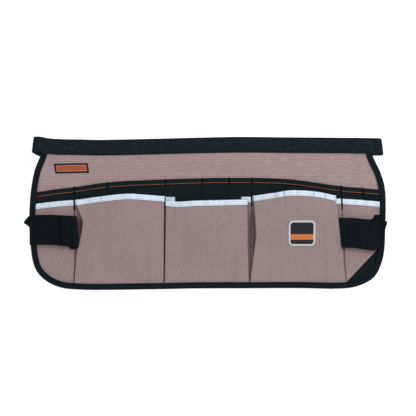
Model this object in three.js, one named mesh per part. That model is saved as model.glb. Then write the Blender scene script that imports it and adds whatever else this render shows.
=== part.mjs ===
// A carpenter's nail apron, lying on its back. Millimetres, +X to the right, +Y towards the belt, +Z off the
// floor. The origin is on the floor, under the middle of the apron.

import * as THREE from 'three';

// Driving dimensions
const APRON_WIDTH = 578; // across the edge binding, at the hips
const APRON_HEIGHT = 245.5; // from the bottom edge to the belt's upper edge
const CANVAS = 1; // thickness of the canvas and of the black cloth
const WEBBING = 1.5; // thickness of the belt and of the hammer loops
const BINDING = 0.8; // thickness of the edge binding
const BINDING_WIDTH = 9.6;
const MOUTH_TAPE = 0.7; // thickness of the silver tape on the pocket mouths
const MOUTH_TAPE_WIDTH = 8.6;
const HEM = 0.8; // what the rear layer's folded hem adds to its thickness
const BELT_WIDTH = 25.4;
const LOOP_WIDTH = 50.8;
const LOOP_HOLLOW = 5; // clear height inside a hammer loop
const PLEAT_DEPTH = 15; // how far a pouch's side is folded in beside its seam
const POUCH_RISE = 8; // how far a pouch's front arches up at its mouth
const REAR_RISE = 3.2; // how far the widest slot of the rear layer stands off
const SIDE_RISE = 1.4; // how far a side pocket stands off
const BUCKLE_LENGTH = 46;
const BUCKLE_WALL = 1.3;
const LABEL_LENGTH = 53;
const LABEL_WIDTH = 15.5;
const PATCH_WIDTH = 44;
const PATCH_HEIGHT = 42;
const BADGE = 0.8; // thickness of the label and of the patch
const GAP = 0.3; // between neighbouring layers

// Sizes that follow from the driving dimensions
const DRAPE = 2 * GAP; // between layers whose facets don't match
const EDGE_INSET = BINDING + 2 * GAP; // from the binding's outer edge to the layers inside it
const EDGE_LIFT = BINDING + DRAPE;
const BACK_LIFT = WEBBING + GAP;
const BUCKLE_HEIGHT = 2 * BUCKLE_WALL + 2 * GAP + WEBBING;
const BUCKLE_LIFT = BUCKLE_HEIGHT - WEBBING;
const OVER_BUCKLE = { level: 0.75 * BUCKLE_LENGTH, foot: 1.4 * BUCKLE_LENGTH }; // the panel's ridge, either way
const IN_BUCKLE = { level: 0.55 * BUCKLE_LENGTH, foot: 1.1 * BUCKLE_LENGTH }; // the belt's rise, either way
const FLAT_EDGE = 1.9 * BINDING_WIDTH; // the layers stay level this far in from the edge
const EDGE_SAG = 1.8 * BINDING_WIDTH; // and reach the floor over this width
const TAPE_ROOM = MOUTH_TAPE + GAP;
const BOTTOM_PITCH = CANVAS + GAP;
const MOUTH_PITCH = CANVAS + 2 * MOUTH_TAPE + 5 * GAP;
const SEAM_GAP = 0.7 * GAP; // from a seam's middle to the cloth on each side of it
const PROP_START = 4 * CANVAS; // past a pleat, the front starts to sink here
const PROP_END = 16 * CANVAS; // and has sunk here
const BINDING_PROP = 1.5; // the binding sinks over a longer way than the front does
const HEIGHT_EASE = 0.06 * APRON_HEIGHT; // the binding's steps between layers are eased over this height
const SLOT_DEPTH = 0.3 * APRON_HEIGHT; // the rear layer's slots open over this height

// Places across are shares of half the width, from the middle; places up are shares of the height, from the bottom.
const across = (share) => (share * APRON_WIDTH) / 2;
const up = (share) => (share - 0.5) * APRON_HEIGHT;

// The outer edge, from under the belt at the left, down, along the bottom and up to the belt at the right
const OUTLINE = [
  { across: -0.925, up: 0.955 },
  { across: -0.94, up: 0.892 },
  { across: -0.982, up: 0.78 },
  { across: -0.999, up: 0.6 },
  { across: -1, up: 0.34 },
  { across: -0.968, up: 0.142 },
  { across: -0.914, up: 0.062 },
  { across: -0.833, up: 0.016 },
  { across: -0.72, up: 0 },
  { across: -0.04, up: 0.007 },
  { across: 0.52, up: 0.012 },
  { across: 0.72, up: 0.01 },
  { across: 0.82, up: 0.019 },
  { across: 0.9, up: 0.05 },
  { across: 0.948, up: 0.098 },
  { across: 0.988, up: 0.215 },
  { across: 1, up: 0.42 },
  { across: 0.994, up: 0.67 },
  { across: 0.972, up: 0.775 },
  { across: 0.93, up: 0.886 },
  { across: 0.918, up: 0.955 },
];
const CORNER = 0.8; // where the bottom ends and each side begins, across

// The four seams of the front strip, from the left
const SEAMS = [
  { top: -0.7545, bottom: -0.7545 },
  { top: -0.2405, bottom: -0.246 },
  { top: 0.2485, bottom: 0.235 },
  { top: 0.758, bottom: 0.79 },
];

// Heights of the front strip's mouth on the side pockets. A place along the apron counts its sections: 0 is the
// left edge, 1 to 4 are the seams and 5 is the right edge.
const SIDE_MOUTH = [
  { place: 0, up: 0.571 },
  { place: 1, up: 0.595 },
  { place: 4, up: 0.604 },
  { place: 5, up: 0.583 },
];

// The rear layer's arched mouth
const REAR_MOUTH = [
  { place: 0, up: 0.64 },
  { place: 0.6, up: 0.666 },
  { place: 1, up: 0.68 },
  { place: 1.4, up: 0.712 },
  { place: 2, up: 0.73 },
  { place: 2.7, up: 0.74 },
  { place: 3.4, up: 0.732 },
  { place: 4, up: 0.686 },
  { place: 4.5, up: 0.672 },
  { place: 5, up: 0.66 },
];

// The rear layer's slots between its seams: how far each stands off, as a share of REAR_RISE, and where its crown is
const SLOTS = [
  { from: 0, to: 1, rise: 0.35, crown: 0.5, columns: 5 },
  { from: 1, to: 1.364, rise: 1, crown: 0.7, columns: 4 },
  { from: 1.364, to: 2, rise: 0.5, crown: 0.4, columns: 5 },
  { from: 2, to: 2.427, rise: 0.5, crown: 0.5, columns: 3 },
  { from: 2.427, to: 2.738, rise: 0.4, crown: 0.5, columns: 2 },
  { from: 2.738, to: 3, rise: 0.3, crown: 0.5, columns: 2 },
  { from: 3, to: 4, rise: 0.9, crown: 0.76, columns: 7 },
  { from: 4, to: 4.51, rise: 0.4, crown: 0.5, columns: 2 },
  { from: 4.51, to: 5, rise: 0.3, crown: 0.5, columns: 3 },
];

// Rows of the layers: shares of the way from the bottom edge up to the mouth
const PANEL_ROWS = [0, 0.03, 0.07, 0.13, 0.26, 0.42, 0.6, 0.8, 1];
const POUCH_ROWS = [0, 0.13, 0.26, 0.42, 0.6, 0.8, 1];
const BAND = 0.8; // from here up to the mouth the front strip is straight, under its tape
const REAR_ROWS = [0.35, 0.7, 1]; // from the front strip's mouth up to the rear layer's
const SAG_ROWS = [0, 0.25, 0.5, 0.75, 1]; // over the stretch where the panel rises to the belt

// The pouches. Each mouth runs from seam to seam; under is the height of the pleat's hidden edge. A fold is where the
// front turns under, in shares of PLEAT_DEPTH in from the seam; pleat is where the hidden layer turns back.
const POUCHES = [
  {
    name: 'left',
    place: 1,
    mouth: [
      { along: 0, up: 0.597 },
      { along: 0.25, up: 0.618 },
      { along: 0.58, up: 0.638 },
      { along: 0.85, up: 0.629 },
      { along: 1, up: 0.622 },
    ],
    left: {
      under: 0.6,
      pleat: 1.75,
      fold: [
        { rise: 0, in: 0.03 },
        { rise: 0.25, in: 0.09 },
        { rise: 0.4, in: 0.3 },
        { rise: 0.55, in: 0.66 },
        { rise: 0.75, in: 0.86 },
        { rise: 1, in: 0.7 },
      ],
    },
    right: {
      under: 0.622,
      pleat: 1,
      fold: [
        { rise: 0, in: 0.06 },
        { rise: 1, in: 0.06 },
      ],
    },
  },
  {
    name: 'centre',
    place: 2,
    mouth: [
      { along: 0, up: 0.591 },
      { along: 0.14, up: 0.584 },
      { along: 0.35, up: 0.587 },
      { along: 0.7, up: 0.595 },
      { along: 1, up: 0.6 },
    ],
    left: {
      under: 0.615,
      pleat: 1.05,
      fold: [
        { rise: 0, in: 0.1 },
        { rise: 1, in: 0.12 },
      ],
    },
    right: {
      under: 0.616,
      pleat: 1.2,
      fold: [
        { rise: 0, in: 0.15 },
        { rise: 0.5, in: 0.34 },
        { rise: 1, in: 0.44 },
      ],
    },
  },
  {
    name: 'right',
    place: 3,
    mouth: [
      { along: 0, up: 0.627 },
      { along: 0.26, up: 0.649 },
      { along: 0.42, up: 0.661 },
      { along: 0.62, up: 0.659 },
      { along: 0.8, up: 0.646 },
      { along: 1, up: 0.628 },
    ],
    left: {
      under: 0.625,
      pleat: 1.1,
      fold: [
        { rise: 0, in: 0.08 },
        { rise: 0.4, in: 0.26 },
        { rise: 0.7, in: 0.33 },
        { rise: 1, in: 0.14 },
      ],
    },
    right: {
      under: 0.606,
      pleat: 1.35,
      fold: [
        { rise: 0, in: 0.1 },
        { rise: 0.45, in: 0.42 },
        { rise: 0.8, in: 0.6 },
        { rise: 1, in: 0.68 },
      ],
    },
  },
];

// The right side pocket's lower corner is cut off along a line, from the edge to the last seam
const CUT = { high: { across: 0.953, up: 0.252 }, low: { across: 0.792, up: 0.052 } };

// The belt's middle line: where it bows, in shares of its width, on the front run and on the back run
const BELT_BOW = [
  { across: -1, front: 0.06, back: -0.1 },
  { across: -0.75, front: -0.04, back: -0.1 },
  { across: -0.4, front: -0.03, back: -0.1 },
  { across: 0.2, front: 0.09, back: -0.1 },
  { across: 0.7, front: 0.02, back: -0.1 },
  { across: 1, front: 0.02, back: -0.08 },
];
const BELT_END = 0.985; // how far the belt's folds reach, across

// The hammer loops, from the tip at the apron's edge, in under and back over. Places up are shares of LOOP_WIDTH
// from the loop's middle; lift is a share of the loop's hollow. The lean moves the lower edge to the right.
const LEFT_LOOP = {
  name: 'left_hammer_loop',
  middle: 0.39,
  lean: 0.07,
  stations: [
    { across: -1.034, low: -0.03, high: 0.03, lift: 0 },
    { across: -1.001, low: 0.05, high: 0.45, lift: 0 },
    { across: -0.985, low: -0.45, high: 0.48, lift: 0 },
    { across: -0.9, low: -0.49, high: 0.49, lift: 0 },
    { across: -0.775, low: -0.6, high: 0.48, lift: 0 },
    { turn: -0.7255, low: -0.54, high: 0.48 },
    { across: -0.8, low: -0.5, high: 0.5, lift: 1 },
    { across: -0.9, low: -0.49, high: 0.51, lift: 0.95 },
    { across: -0.97, low: -0.49, high: 0.51, lift: 0.2 },
    { across: -0.998, low: -0.49, high: 0.51, lift: 0.12 },
  ],
};
const RIGHT_LOOP = {
  name: 'right_hammer_loop',
  middle: 0.375,
  lean: 0.11,
  stations: [
    { across: 0.99, low: -0.5, high: 0.4, lift: 0 },
    { across: 0.965, low: -0.5, high: 0.64, lift: 0 },
    { across: 0.938, low: -0.5, high: 0.64, lift: 0 },
    { across: 0.93, low: -0.5, high: 0.48, lift: 0 },
    { across: 0.85, low: -0.46, high: 0.48, lift: 0 },
    { across: 0.79, low: -0.45, high: 0.48, lift: 0 },
    { turn: 0.7505, low: -0.42, high: 0.52 },
    { across: 0.83, low: -0.44, high: 0.5, lift: 1 },
    { across: 0.9, low: -0.48, high: 0.47, lift: 0.95 },
    { across: 0.97, low: -0.53, high: 0.45, lift: 0.2 },
    { across: 1.003, low: -0.35, high: 0.43, lift: 0.12 },
  ],
};

const LABEL_PLACE = { across: -0.769, up: 0.804, turn: 1.2 }; // turn in degrees
const PATCH_PLACE = { across: 0.528, up: 0.374 };

// Smoothness of the curves
const EDGE_STEPS = 86;
const TURN_STEPS = 4;
const FRONT_STEPS = 11;

// Shares that shape the pouches, the tapes and the binding
const ARCH_SHOULDER = 0.42; // of a pouch's width, over which its front arches up at each side
const RISE_POWER = 1.3; // how late, on the way up, a pouch's front stands off
const PITCH_FOOT = 0.1; // the pleats' layers are closest up to this height
const TAPE_FOOT = 0.6; // the room for the mouth tape begins at this height
const PLEATS_THIN = { from: 0.13, to: 0.3 }; // the binding no longer covers the pleats above these heights
const BELT_LEVEL = 0.9; // the belt's front run is level from here to its ends
const PATCH_CORNER = 0.8; // how narrow the patch's first and last rows are

const clamp = (value) => Math.min(1, Math.max(0, value));
const mix = (from, to, share) => from + (to - from) * share;

// 0 up to the start, 1 from the end on, and smooth between
const fade = (value, start, end) => THREE.MathUtils.smoothstep(value, start, end);

// A smooth function of one column through a table's rows, level beyond its ends
function through(table, key, column) {
  const slope = (i) => {
    const before = table[Math.max(0, i - 1)];
    const after = table[Math.min(table.length - 1, i + 1)];
    return (after[column] - before[column]) / (after[key] - before[key]);
  };
  return (at) => {
    if (at <= table[0][key]) return table[0][column];
    const next = table.findIndex((row) => row[key] > at);
    if (next < 0) return table[table.length - 1][column];
    const [a, b] = [table[next - 1], table[next]];
    const span = b[key] - a[key];
    const t = (at - a[key]) / span;
    const bend = (slope(next - 1) * (1 - t) - slope(next) * t) * span * t * (1 - t);
    const smooth = t * t * (3 - 2 * t);
    return mix(a[column], b[column], smooth) + bend;
  };
}

// The outer edge as a line of points, moved in from the binding's outer edge
function edgeLine(inset) {
  const knots = OUTLINE.map((knot) => new THREE.Vector3(across(knot.across), up(knot.up), 0));
  const curve = new THREE.CatmullRomCurve3(knots, false, 'centripetal');
  const points = curve.getSpacedPoints(EDGE_STEPS);
  return points.map((point, i) => {
    const before = points[Math.max(0, i - 1)];
    const after = points[Math.min(points.length - 1, i + 1)];
    const ahead = after.clone().sub(before).normalize();
    return new THREE.Vector3(point.x - ahead.y * inset, point.y + ahead.x * inset, 0);
  });
}

const OUTER = edgeLine(0);
const INNER = edgeLine(EDGE_INSET);
const SIDES = {
  left: INNER.slice(0, INNER.findIndex((point) => point.x > across(-CORNER)) + 1),
  right: INNER.slice(INNER.findIndex((point) => point.x > across(CORNER)) - 1).reverse(),
};
const BOTTOM = INNER.filter((point) => point.y < up(0.3));

// The value of one coordinate where a line passes the given value of the other
function crossing(line, at, key, other) {
  for (let i = 1; i < line.length; i += 1) {
    const [a, b] = [line[i - 1], line[i]];
    if ((a[key] - at) * (b[key] - at) <= 0 && a[key] !== b[key]) {
      return mix(a[other], b[other], (at - a[key]) / (b[key] - a[key]));
    }
  }
  const [first, last] = [line[0], line[line.length - 1]];
  return Math.abs(first[key] - at) < Math.abs(last[key] - at) ? first[other] : last[other];
}

const sideX = (side, y) => crossing(SIDES[side], y, 'y', 'x');
const bottomY = (x) => crossing(BOTTOM, x, 'x', 'y');

function distanceToEdge(x, y) {
  const point = new THREE.Vector3(x, y, 0);
  const nearest = new THREE.Vector3();
  let least = Infinity;
  for (let i = 1; i < OUTER.length; i += 1) {
    new THREE.Line3(OUTER[i - 1], OUTER[i]).closestPointToPoint(point, true, nearest);
    least = Math.min(least, nearest.distanceTo(point));
  }
  return least;
}

// Seams run straight from the bottom to the mouth
const MOUTH_LEVEL = up(0.6);
const BOTTOM_LEVEL = up(0);
function seamX(index, y) {
  const rise = (y - BOTTOM_LEVEL) / (MOUTH_LEVEL - BOTTOM_LEVEL);
  return across(mix(SEAMS[index].bottom, SEAMS[index].top, rise));
}

// Where a place along the apron lies at a height, and the place at a point
function placeX(place, y) {
  const section = Math.min(4, Math.floor(place));
  const from = section === 0 ? sideX('left', y) : seamX(section - 1, y);
  const to = section === 4 ? sideX('right', y) : seamX(section, y);
  return mix(from, to, place - section);
}
function placeAt(x, y) {
  const section = SEAMS.filter((seam, i) => seamX(i, y) <= x).length;
  const from = placeX(section, y);
  const to = section === 4 ? sideX('right', y) : seamX(section, y);
  return section + clamp((x - from) / (to - from));
}

// The bottom edge below a place
function placeBottom(place) {
  const nearEdge = place < 1 || place > 4;
  const outer = across(place < 1 ? -CORNER : CORNER);
  const seam = seamX(place < 1 ? 0 : 3, BOTTOM_LEVEL);
  const x = nearEdge ? mix(outer, seam, place < 1 ? place : 5 - place) : placeX(place, BOTTOM_LEVEL);
  return bottomY(x);
}

const sideMouth = through(SIDE_MOUTH, 'place', 'up');
const rearMouth = through(REAR_MOUTH, 'place', 'up');
const bowFront = through(BELT_BOW, 'across', 'front');
const bowBack = through(BELT_BOW, 'across', 'back');

const BELT_MIDDLE = up(1) - BELT_WIDTH / 2;
const BELT_LOW = BELT_MIDDLE - BELT_WIDTH / 2;
const REAR_CROWN = up(Math.max(...REAR_MOUTH.map((row) => row.up)));
const SAG_TOP = BELT_LOW - 0.2 * BELT_WIDTH;
const SAG_FOOT = mix(REAR_CROWN, SAG_TOP, 0.12);

// The height of the panel's underside: it lies on the binding's rear flange, on the belt's back run and on the buckle,
// and on the floor between them
function restLift(x, y) {
  const overBelt = fade(y, SAG_FOOT, SAG_TOP);
  const overBuckle = 1 - clamp((Math.abs(x) - OVER_BUCKLE.level) / (OVER_BUCKLE.foot - OVER_BUCKLE.level));
  const nearEdge = 1 - fade(distanceToEdge(x, y), FLAT_EDGE, FLAT_EDGE + EDGE_SAG);
  return overBelt * (BACK_LIFT + BUCKLE_LIFT * overBuckle) + EDGE_LIFT * nearEdge;
}

// How far the rear layer stands off the panel
function rearRise(x, y) {
  const place = placeAt(x, y);
  const slot = SLOTS.find((each) => place <= each.to);
  const share = (place - slot.from) / (slot.to - slot.from);
  const centred = clamp(share) ** (Math.log(0.5) / Math.log(slot.crown));
  const mouth = up(rearMouth(place));
  const towardsMouth = fade(y, mouth - SLOT_DEPTH, mouth);
  const clear = fade(distanceToEdge(x, y), FLAT_EDGE, FLAT_EDGE + EDGE_SAG);
  return slot.rise * REAR_RISE * Math.sin(Math.PI * centred) ** 2 * towardsMouth * clear;
}

// The share of a pocket's height counted up to its straight band, and the room there for the back of the mouth tape
const belowBand = (rise) => Math.min(1, rise / BAND);
const tapeRoom = (rise) => TAPE_ROOM * fade(belowBand(rise), TAPE_FOOT, 1);

// A closed body from its points and faces of three or four corners, turned to face outwards
function body(points, faces) {
  const triangles = faces.flatMap((f) => (f.length === 3 ? [f] : [[f[0], f[1], f[2]], [f[0], f[2], f[3]]]));
  const volume = triangles.reduce((sum, [a, b, c]) => {
    const normal = new THREE.Vector3().crossVectors(points[b], points[c]);
    return sum + points[a].dot(normal);
  }, 0);
  const index = triangles.flatMap(([a, b, c]) => (volume < 0 ? [a, c, b] : [a, b, c]));
  const geometry = new THREE.BufferGeometry().setFromPoints(points);
  geometry.setIndex(index);
  geometry.computeVertexNormals();
  return geometry;
}

// A cloth wall from rows of points, each with its middle and the step from there to its upper face
function wall(rows) {
  const [height, width] = [rows.length, rows[0].length];
  const points = [];
  for (const row of rows) {
    for (const { middle, half } of row) {
      points.push(middle.clone().add(half), middle.clone().sub(half));
    }
  }
  const upper = (i, j) => 2 * (i * width + j);
  const lower = (i, j) => upper(i, j) + 1;
  const faces = [];
  for (let i = 1; i < height; i += 1) {
    for (let j = 1; j < width; j += 1) {
      faces.push([upper(i - 1, j - 1), upper(i - 1, j), upper(i, j), upper(i, j - 1)]);
      faces.push([lower(i - 1, j - 1), lower(i, j - 1), lower(i, j), lower(i - 1, j)]);
    }
    faces.push([upper(i - 1, 0), upper(i, 0), lower(i, 0), lower(i - 1, 0)]);
    const end = width - 1;
    faces.push([upper(i - 1, end), lower(i - 1, end), lower(i, end), upper(i, end)]);
  }
  for (let j = 1; j < width; j += 1) {
    const top = height - 1;
    faces.push([upper(0, j - 1), lower(0, j - 1), lower(0, j), upper(0, j)]);
    faces.push([upper(top, j - 1), upper(top, j), lower(top, j), lower(top, j - 1)]);
  }
  return body(points, faces);
}

// A body swept through sections of equal length. Each cap covers part of an end section; a ring has no ends.
function sweep(sections, caps, ring = false) {
  const count = sections[0].length;
  const points = sections.flat();
  const last = sections.length - 1;
  const faces = [];
  for (let i = ring ? 0 : 1; i <= last; i += 1) {
    const before = (i === 0 ? last : i - 1) * count;
    for (let j = 0; j < count; j += 1) {
      const next = (j + 1) % count;
      faces.push([before + j, before + next, i * count + next, i * count + j]);
    }
  }
  if (!ring) {
    for (const cap of caps) {
      faces.push([...cap].reverse());
      faces.push(cap.map((corner) => last * count + corner));
    }
  }
  return body(points, faces);
}

const flatPoint = (x, y, z, thickness = CANVAS) => ({
  middle: new THREE.Vector3(x, y, z),
  half: new THREE.Vector3(0, 0, thickness / 2),
});

// The step from a path's middle line to its upper face, in the XZ plane, for each of its points. At a bend the step is
// longer, so that the cloth keeps its thickness.
function mitres(path, ring = false) {
  const count = path.length;
  return path.map((point, i) => {
    const before = path[ring ? (i + count - 1) % count : Math.max(0, i - 1)];
    const after = path[ring ? (i + 1) % count : Math.min(count - 1, i + 1)];
    const arriving = new THREE.Vector2(point.x - before.x, point.z - before.z).normalize();
    const leaving = new THREE.Vector2(after.x - point.x, after.z - point.z).normalize();
    const first = arriving.length() > 0 ? arriving : leaving;
    const second = leaving.length() > 0 ? leaving : arriving;
    const ahead = first.clone().add(second).normalize();
    const stretch = 1 / ahead.dot(second);
    return new THREE.Vector3(-ahead.y * stretch, 0, ahead.x * stretch);
  });
}

// Columns of the whole width, as places along the apron
function slotColumns() {
  const places = [0];
  for (const slot of SLOTS) {
    for (let k = 1; k <= slot.columns; k += 1) {
      places.push(mix(slot.from, slot.to, k / slot.columns));
    }
  }
  return places;
}

// Heights at a place: rows up to the front strip's mouth, then to the rear layer's, then to the top
function rowHeights(place) {
  const bottom = placeBottom(place);
  const front = up(sideMouth(place));
  const rear = up(rearMouth(place));
  const top = up(OUTLINE[0].up);
  return {
    front: PANEL_ROWS.map((share) => mix(bottom, front, share)),
    rear: REAR_ROWS.map((share) => mix(front, rear, share)),
    upper: [...SAG_ROWS.map((share) => mix(SAG_FOOT, SAG_TOP, share)), mix(SAG_TOP, top, 0.5), top],
  };
}

// Turns a list of columns into rows
const rowsOf = (columns) => columns[0].map((point, i) => columns.map((column) => column[i]));

function backingPanel() {
  const sides = slotColumns().filter((place) => place <= 1 || place >= 4);
  const ridge = [OVER_BUCKLE.level, OVER_BUCKLE.foot].flatMap((x) => [placeAt(-x, SAG_TOP), placeAt(x, SAG_TOP)]);
  const places = [...sides, 1.5, 2, 3, 3.5, ...ridge].sort((a, b) => a - b);
  const columns = places.map((place) => {
    const heights = rowHeights(place);
    return [...heights.front, ...heights.rear, ...heights.upper].map((y) => {
      const x = placeX(place, y);
      return flatPoint(x, y, restLift(x, y) + CANVAS / 2);
    });
  });
  return wall(rowsOf(columns));
}

function rearPocketLayer() {
  const columns = slotColumns().map((place) => {
    const heights = rowHeights(place);
    const hemStart = heights.front.length;
    return [...heights.front, ...heights.rear].map((y, i) => {
      const x = placeX(place, y);
      const thickness = CANVAS + (i > hemStart ? HEM : 0);
      const under = restLift(x, y) + CANVAS + GAP + rearRise(x, y);
      return flatPoint(x, y, under + thickness / 2, thickness);
    });
  });
  return wall(rowsOf(columns));
}

// The middle surface of the front strip where it lies on the rear layer, at a share of its height from bottom to mouth
function stripZ(x, y, rise, bottom, mouth) {
  const rear = rearRise(x, mix(bottom, mouth, belowBand(rise)));
  return restLift(x, y) + 2 * CANVAS + GAP + rear + DRAPE + tapeRoom(rise) + CANVAS / 2;
}

// A point of a side pocket, at a share of its way across
function sidePocketPoint(x, y, rise, bottom, mouth) {
  const share = placeAt(x, mouth) % 1 || 1;
  const clear = fade(distanceToEdge(x, y), FLAT_EDGE, FLAT_EDGE + EDGE_SAG);
  const stand = SIDE_RISE * Math.sin(Math.PI * share) ** 2 * belowBand(rise) * clear;
  return flatPoint(x, y, stripZ(x, y, rise, bottom, mouth) + stand);
}

function leftSideColumns() {
  return [0, 0.2, 0.4, 0.6, 0.8, 1].map((place) => {
    const heights = rowHeights(place).front;
    return heights.map((y, i) => {
      const x = placeX(place, y) - (place === 1 ? SEAM_GAP : 0);
      return sidePocketPoint(x, y, PANEL_ROWS[i], heights[0], heights[heights.length - 1]);
    });
  });
}

function cutX(y) {
  const rise = (y - up(CUT.low.up)) / (up(CUT.high.up) - up(CUT.low.up));
  return across(mix(CUT.low.across, CUT.high.across, rise));
}

function rightSideColumns() {
  const narrow = 2 * CANVAS;
  return [0, 0.2, 0.4, 0.6, 0.8, 1].map((share) => {
    const mouth = up(sideMouth(4 + share));
    const bottom = up(CUT.low.up);
    return PANEL_ROWS.map((rise) => {
      const y = mix(bottom, mouth, rise);
      const from = seamX(3, y) + SEAM_GAP;
      const to = Math.max(from + narrow, Math.min(sideX('right', y), cutX(y)));
      const x = mix(from, to, share);
      return sidePocketPoint(x, y, rise, bottom, mouth);
    });
  });
}

// Half a turn of the cloth from one level to the next, round a centre line at x. Out is 1 when it bulges to the right.
function turn(x, radius, z, out) {
  const points = [];
  for (let k = 0; k <= TURN_STEPS; k += 1) {
    const angle = (Math.PI * k) / TURN_STEPS;
    points.push({ x: x + out * radius * Math.sin(angle), z: z - radius * Math.cos(angle) });
  }
  return points;
}

// How far the pleats beside the seams prop the front up, at a distance from the seam
const propped = (distance, pleat, reach = 1) =>
  1 - fade(distance, pleat + PROP_START * reach, pleat + PROP_END * reach);

// Pitch of the pleat's layers, and how far the front stands off at a share of the pouch's height
const pleatPitch = (rise) => mix(BOTTOM_PITCH, MOUTH_PITCH, fade(belowBand(rise), PITCH_FOOT, 1));
const pouchRise = (rise) => POUCH_RISE * belowBand(rise) ** RISE_POWER;

// One pouch's path at a share of its height, from seam to seam, through both pleats
function pouchPath(pouch, rise) {
  const mouthOf = through(pouch.mouth, 'along', 'up');
  const pitch = pleatPitch(rise);
  const radius = pitch / 2;
  const { left, right } = pouch;
  const middleBottom = placeBottom(pouch.place + 0.5);
  const foldIn = (side) => through(side.fold, 'rise', 'in')(belowBand(rise)) * PLEAT_DEPTH + radius + CANVAS / 2;
  const seamY = mix(middleBottom, up(mouthOf(0.5)), rise);
  const from = seamX(pouch.place - 1, seamY) + SEAM_GAP;
  const to = seamX(pouch.place, seamY) - SEAM_GAP;
  const foldFrom = from + foldIn(left);
  const foldTo = to - foldIn(right);
  const pleatFrom = from + left.pleat * PLEAT_DEPTH;
  const pleatTo = to - right.pleat * PLEAT_DEPTH;
  const under = (x, side) => ({ x, z: 0, mouth: side.under });
  const reaching = (points, mouth) => points.map((point) => ({ ...point, mouth }));
  const front = [];
  for (let k = 1; k < FRONT_STEPS; k += 1) {
    const share = k / FRONT_STEPS;
    const x = mix(foldFrom, foldTo, share);
    const prop = Math.max(
      propped(x - from, left.pleat * PLEAT_DEPTH),
      propped(to - x, right.pleat * PLEAT_DEPTH),
    );
    const arch = fade(share, 0, ARCH_SHOULDER) * fade(1 - share, 0, ARCH_SHOULDER);
    const stand = 2 * pitch * mix(fade(belowBand(rise), 0, 1), 1, prop);
    front.push({ x, z: stand + pouchRise(rise) * arch, mouth: mouthOf(share) });
  }
  const path = [
    under(from, left),
    under(mix(from, pleatFrom, 0.5), left),
    ...reaching(turn(pleatFrom, radius, radius, 1), left.under),
    ...reaching(turn(foldFrom, radius, 3 * radius, -1), mouthOf(0)),
    ...front,
    ...reaching(turn(foldTo, radius, 3 * radius, 1).reverse(), mouthOf(1)),
    ...reaching(turn(pleatTo, radius, radius, -1).reverse(), right.under),
    under(mix(to, pleatTo, 0.5), right),
    under(to, right),
  ];
  return path.map(({ x, z, mouth }) => {
    const bottom = bottomY(x);
    const y = mix(bottom, up(mouth), rise);
    return { x, y, z: stripZ(x, y, rise, bottom, up(mouth)) + z };
  });
}

function pouchRows(pouch) {
  return POUCH_ROWS.map((rise) => {
    const path = pouchPath(pouch, rise);
    const steps = mitres(path);
    return path.map((point, i) => ({
      middle: new THREE.Vector3(point.x, point.y, point.z),
      half: steps[i].multiplyScalar(CANVAS / 2),
    }));
  });
}

// The parts of a channel's end: its lower flange, its web and its upper flange
const CHANNEL_CAPS = [
  [0, 1, 6, 7],
  [1, 2, 5, 6],
  [2, 3, 4, 5],
];

// The silver tape: a channel folded over the upper edge of a wall, given as its rows
function mouthTape(rows, from = 0, to = rows[0].length - 1) {
  const [below, mouth] = rows.slice(-2);
  const sections = [];
  for (let j = from; j <= to; j += 1) {
    const { middle, half } = mouth[j];
    const down = below[j].middle.clone().sub(middle).normalize();
    const at = (depth, cover) =>
      middle
        .clone()
        .addScaledVector(down, depth)
        .addScaledVector(half, (Math.sign(cover) * CANVAS / 2 + cover) / (CANVAS / 2));
    const [inner, outer] = [GAP, GAP + MOUTH_TAPE];
    sections.push([
      at(MOUTH_TAPE_WIDTH, -outer),
      at(-outer, -outer),
      at(-outer, outer),
      at(MOUTH_TAPE_WIDTH, outer),
      at(MOUTH_TAPE_WIDTH, inner),
      at(-inner, inner),
      at(-inner, -inner),
      at(MOUTH_TAPE_WIDTH, -inner),
    ]);
  }
  return sweep(sections, CHANNEL_CAPS);
}

// The top of all the layers that the edge binding covers at a point of the edge
function layersTop(x, y) {
  const place = placeAt(x, y);
  const rearEdge = up(rearMouth(place)) + BINDING_WIDTH;
  const frontEdge = up(sideMouth(place)) + BINDING_WIDTH;
  const rear = 1 - fade(y, rearEdge, rearEdge + HEIGHT_EASE);
  const strip = 1 - fade(y, frontEdge, frontEdge + HEIGHT_EASE);
  const cutHigh = up(CUT.high.up) - HEIGHT_EASE;
  const pastCut = x > seamX(3, y) ? 1 - fade(y, cutHigh - HEIGHT_EASE, cutHigh) : 0;
  const nearSeam = 1 - fade(x - seamX(3, y), 0, 2 * HEIGHT_EASE);
  const front = strip * Math.max(1 - pastCut, nearSeam);
  const rise = clamp((y - BOTTOM_LEVEL) / (MOUTH_LEVEL - BOTTOM_LEVEL));
  const low = 1 - fade(rise, PLEATS_THIN.from, PLEATS_THIN.to);
  const pleats = POUCHES.flatMap((pouch) => [
    { away: x - seamX(pouch.place - 1, y), depth: pouch.left.pleat * PLEAT_DEPTH },
    { away: seamX(pouch.place, y) - x, depth: pouch.right.pleat * PLEAT_DEPTH },
  ]);
  const near = pleats.filter(({ away }) => away > -HEIGHT_EASE);
  const prop = Math.max(0, ...near.map(({ away, depth }) => propped(away, depth, BINDING_PROP)));
  const layers = CANVAS + rear * (GAP + CANVAS + (1 - front) * HEM) + front * (DRAPE + CANVAS + tapeRoom(rise));
  return restLift(x, y) + layers + low * prop * 2 * BOTTOM_PITCH;
}

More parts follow.
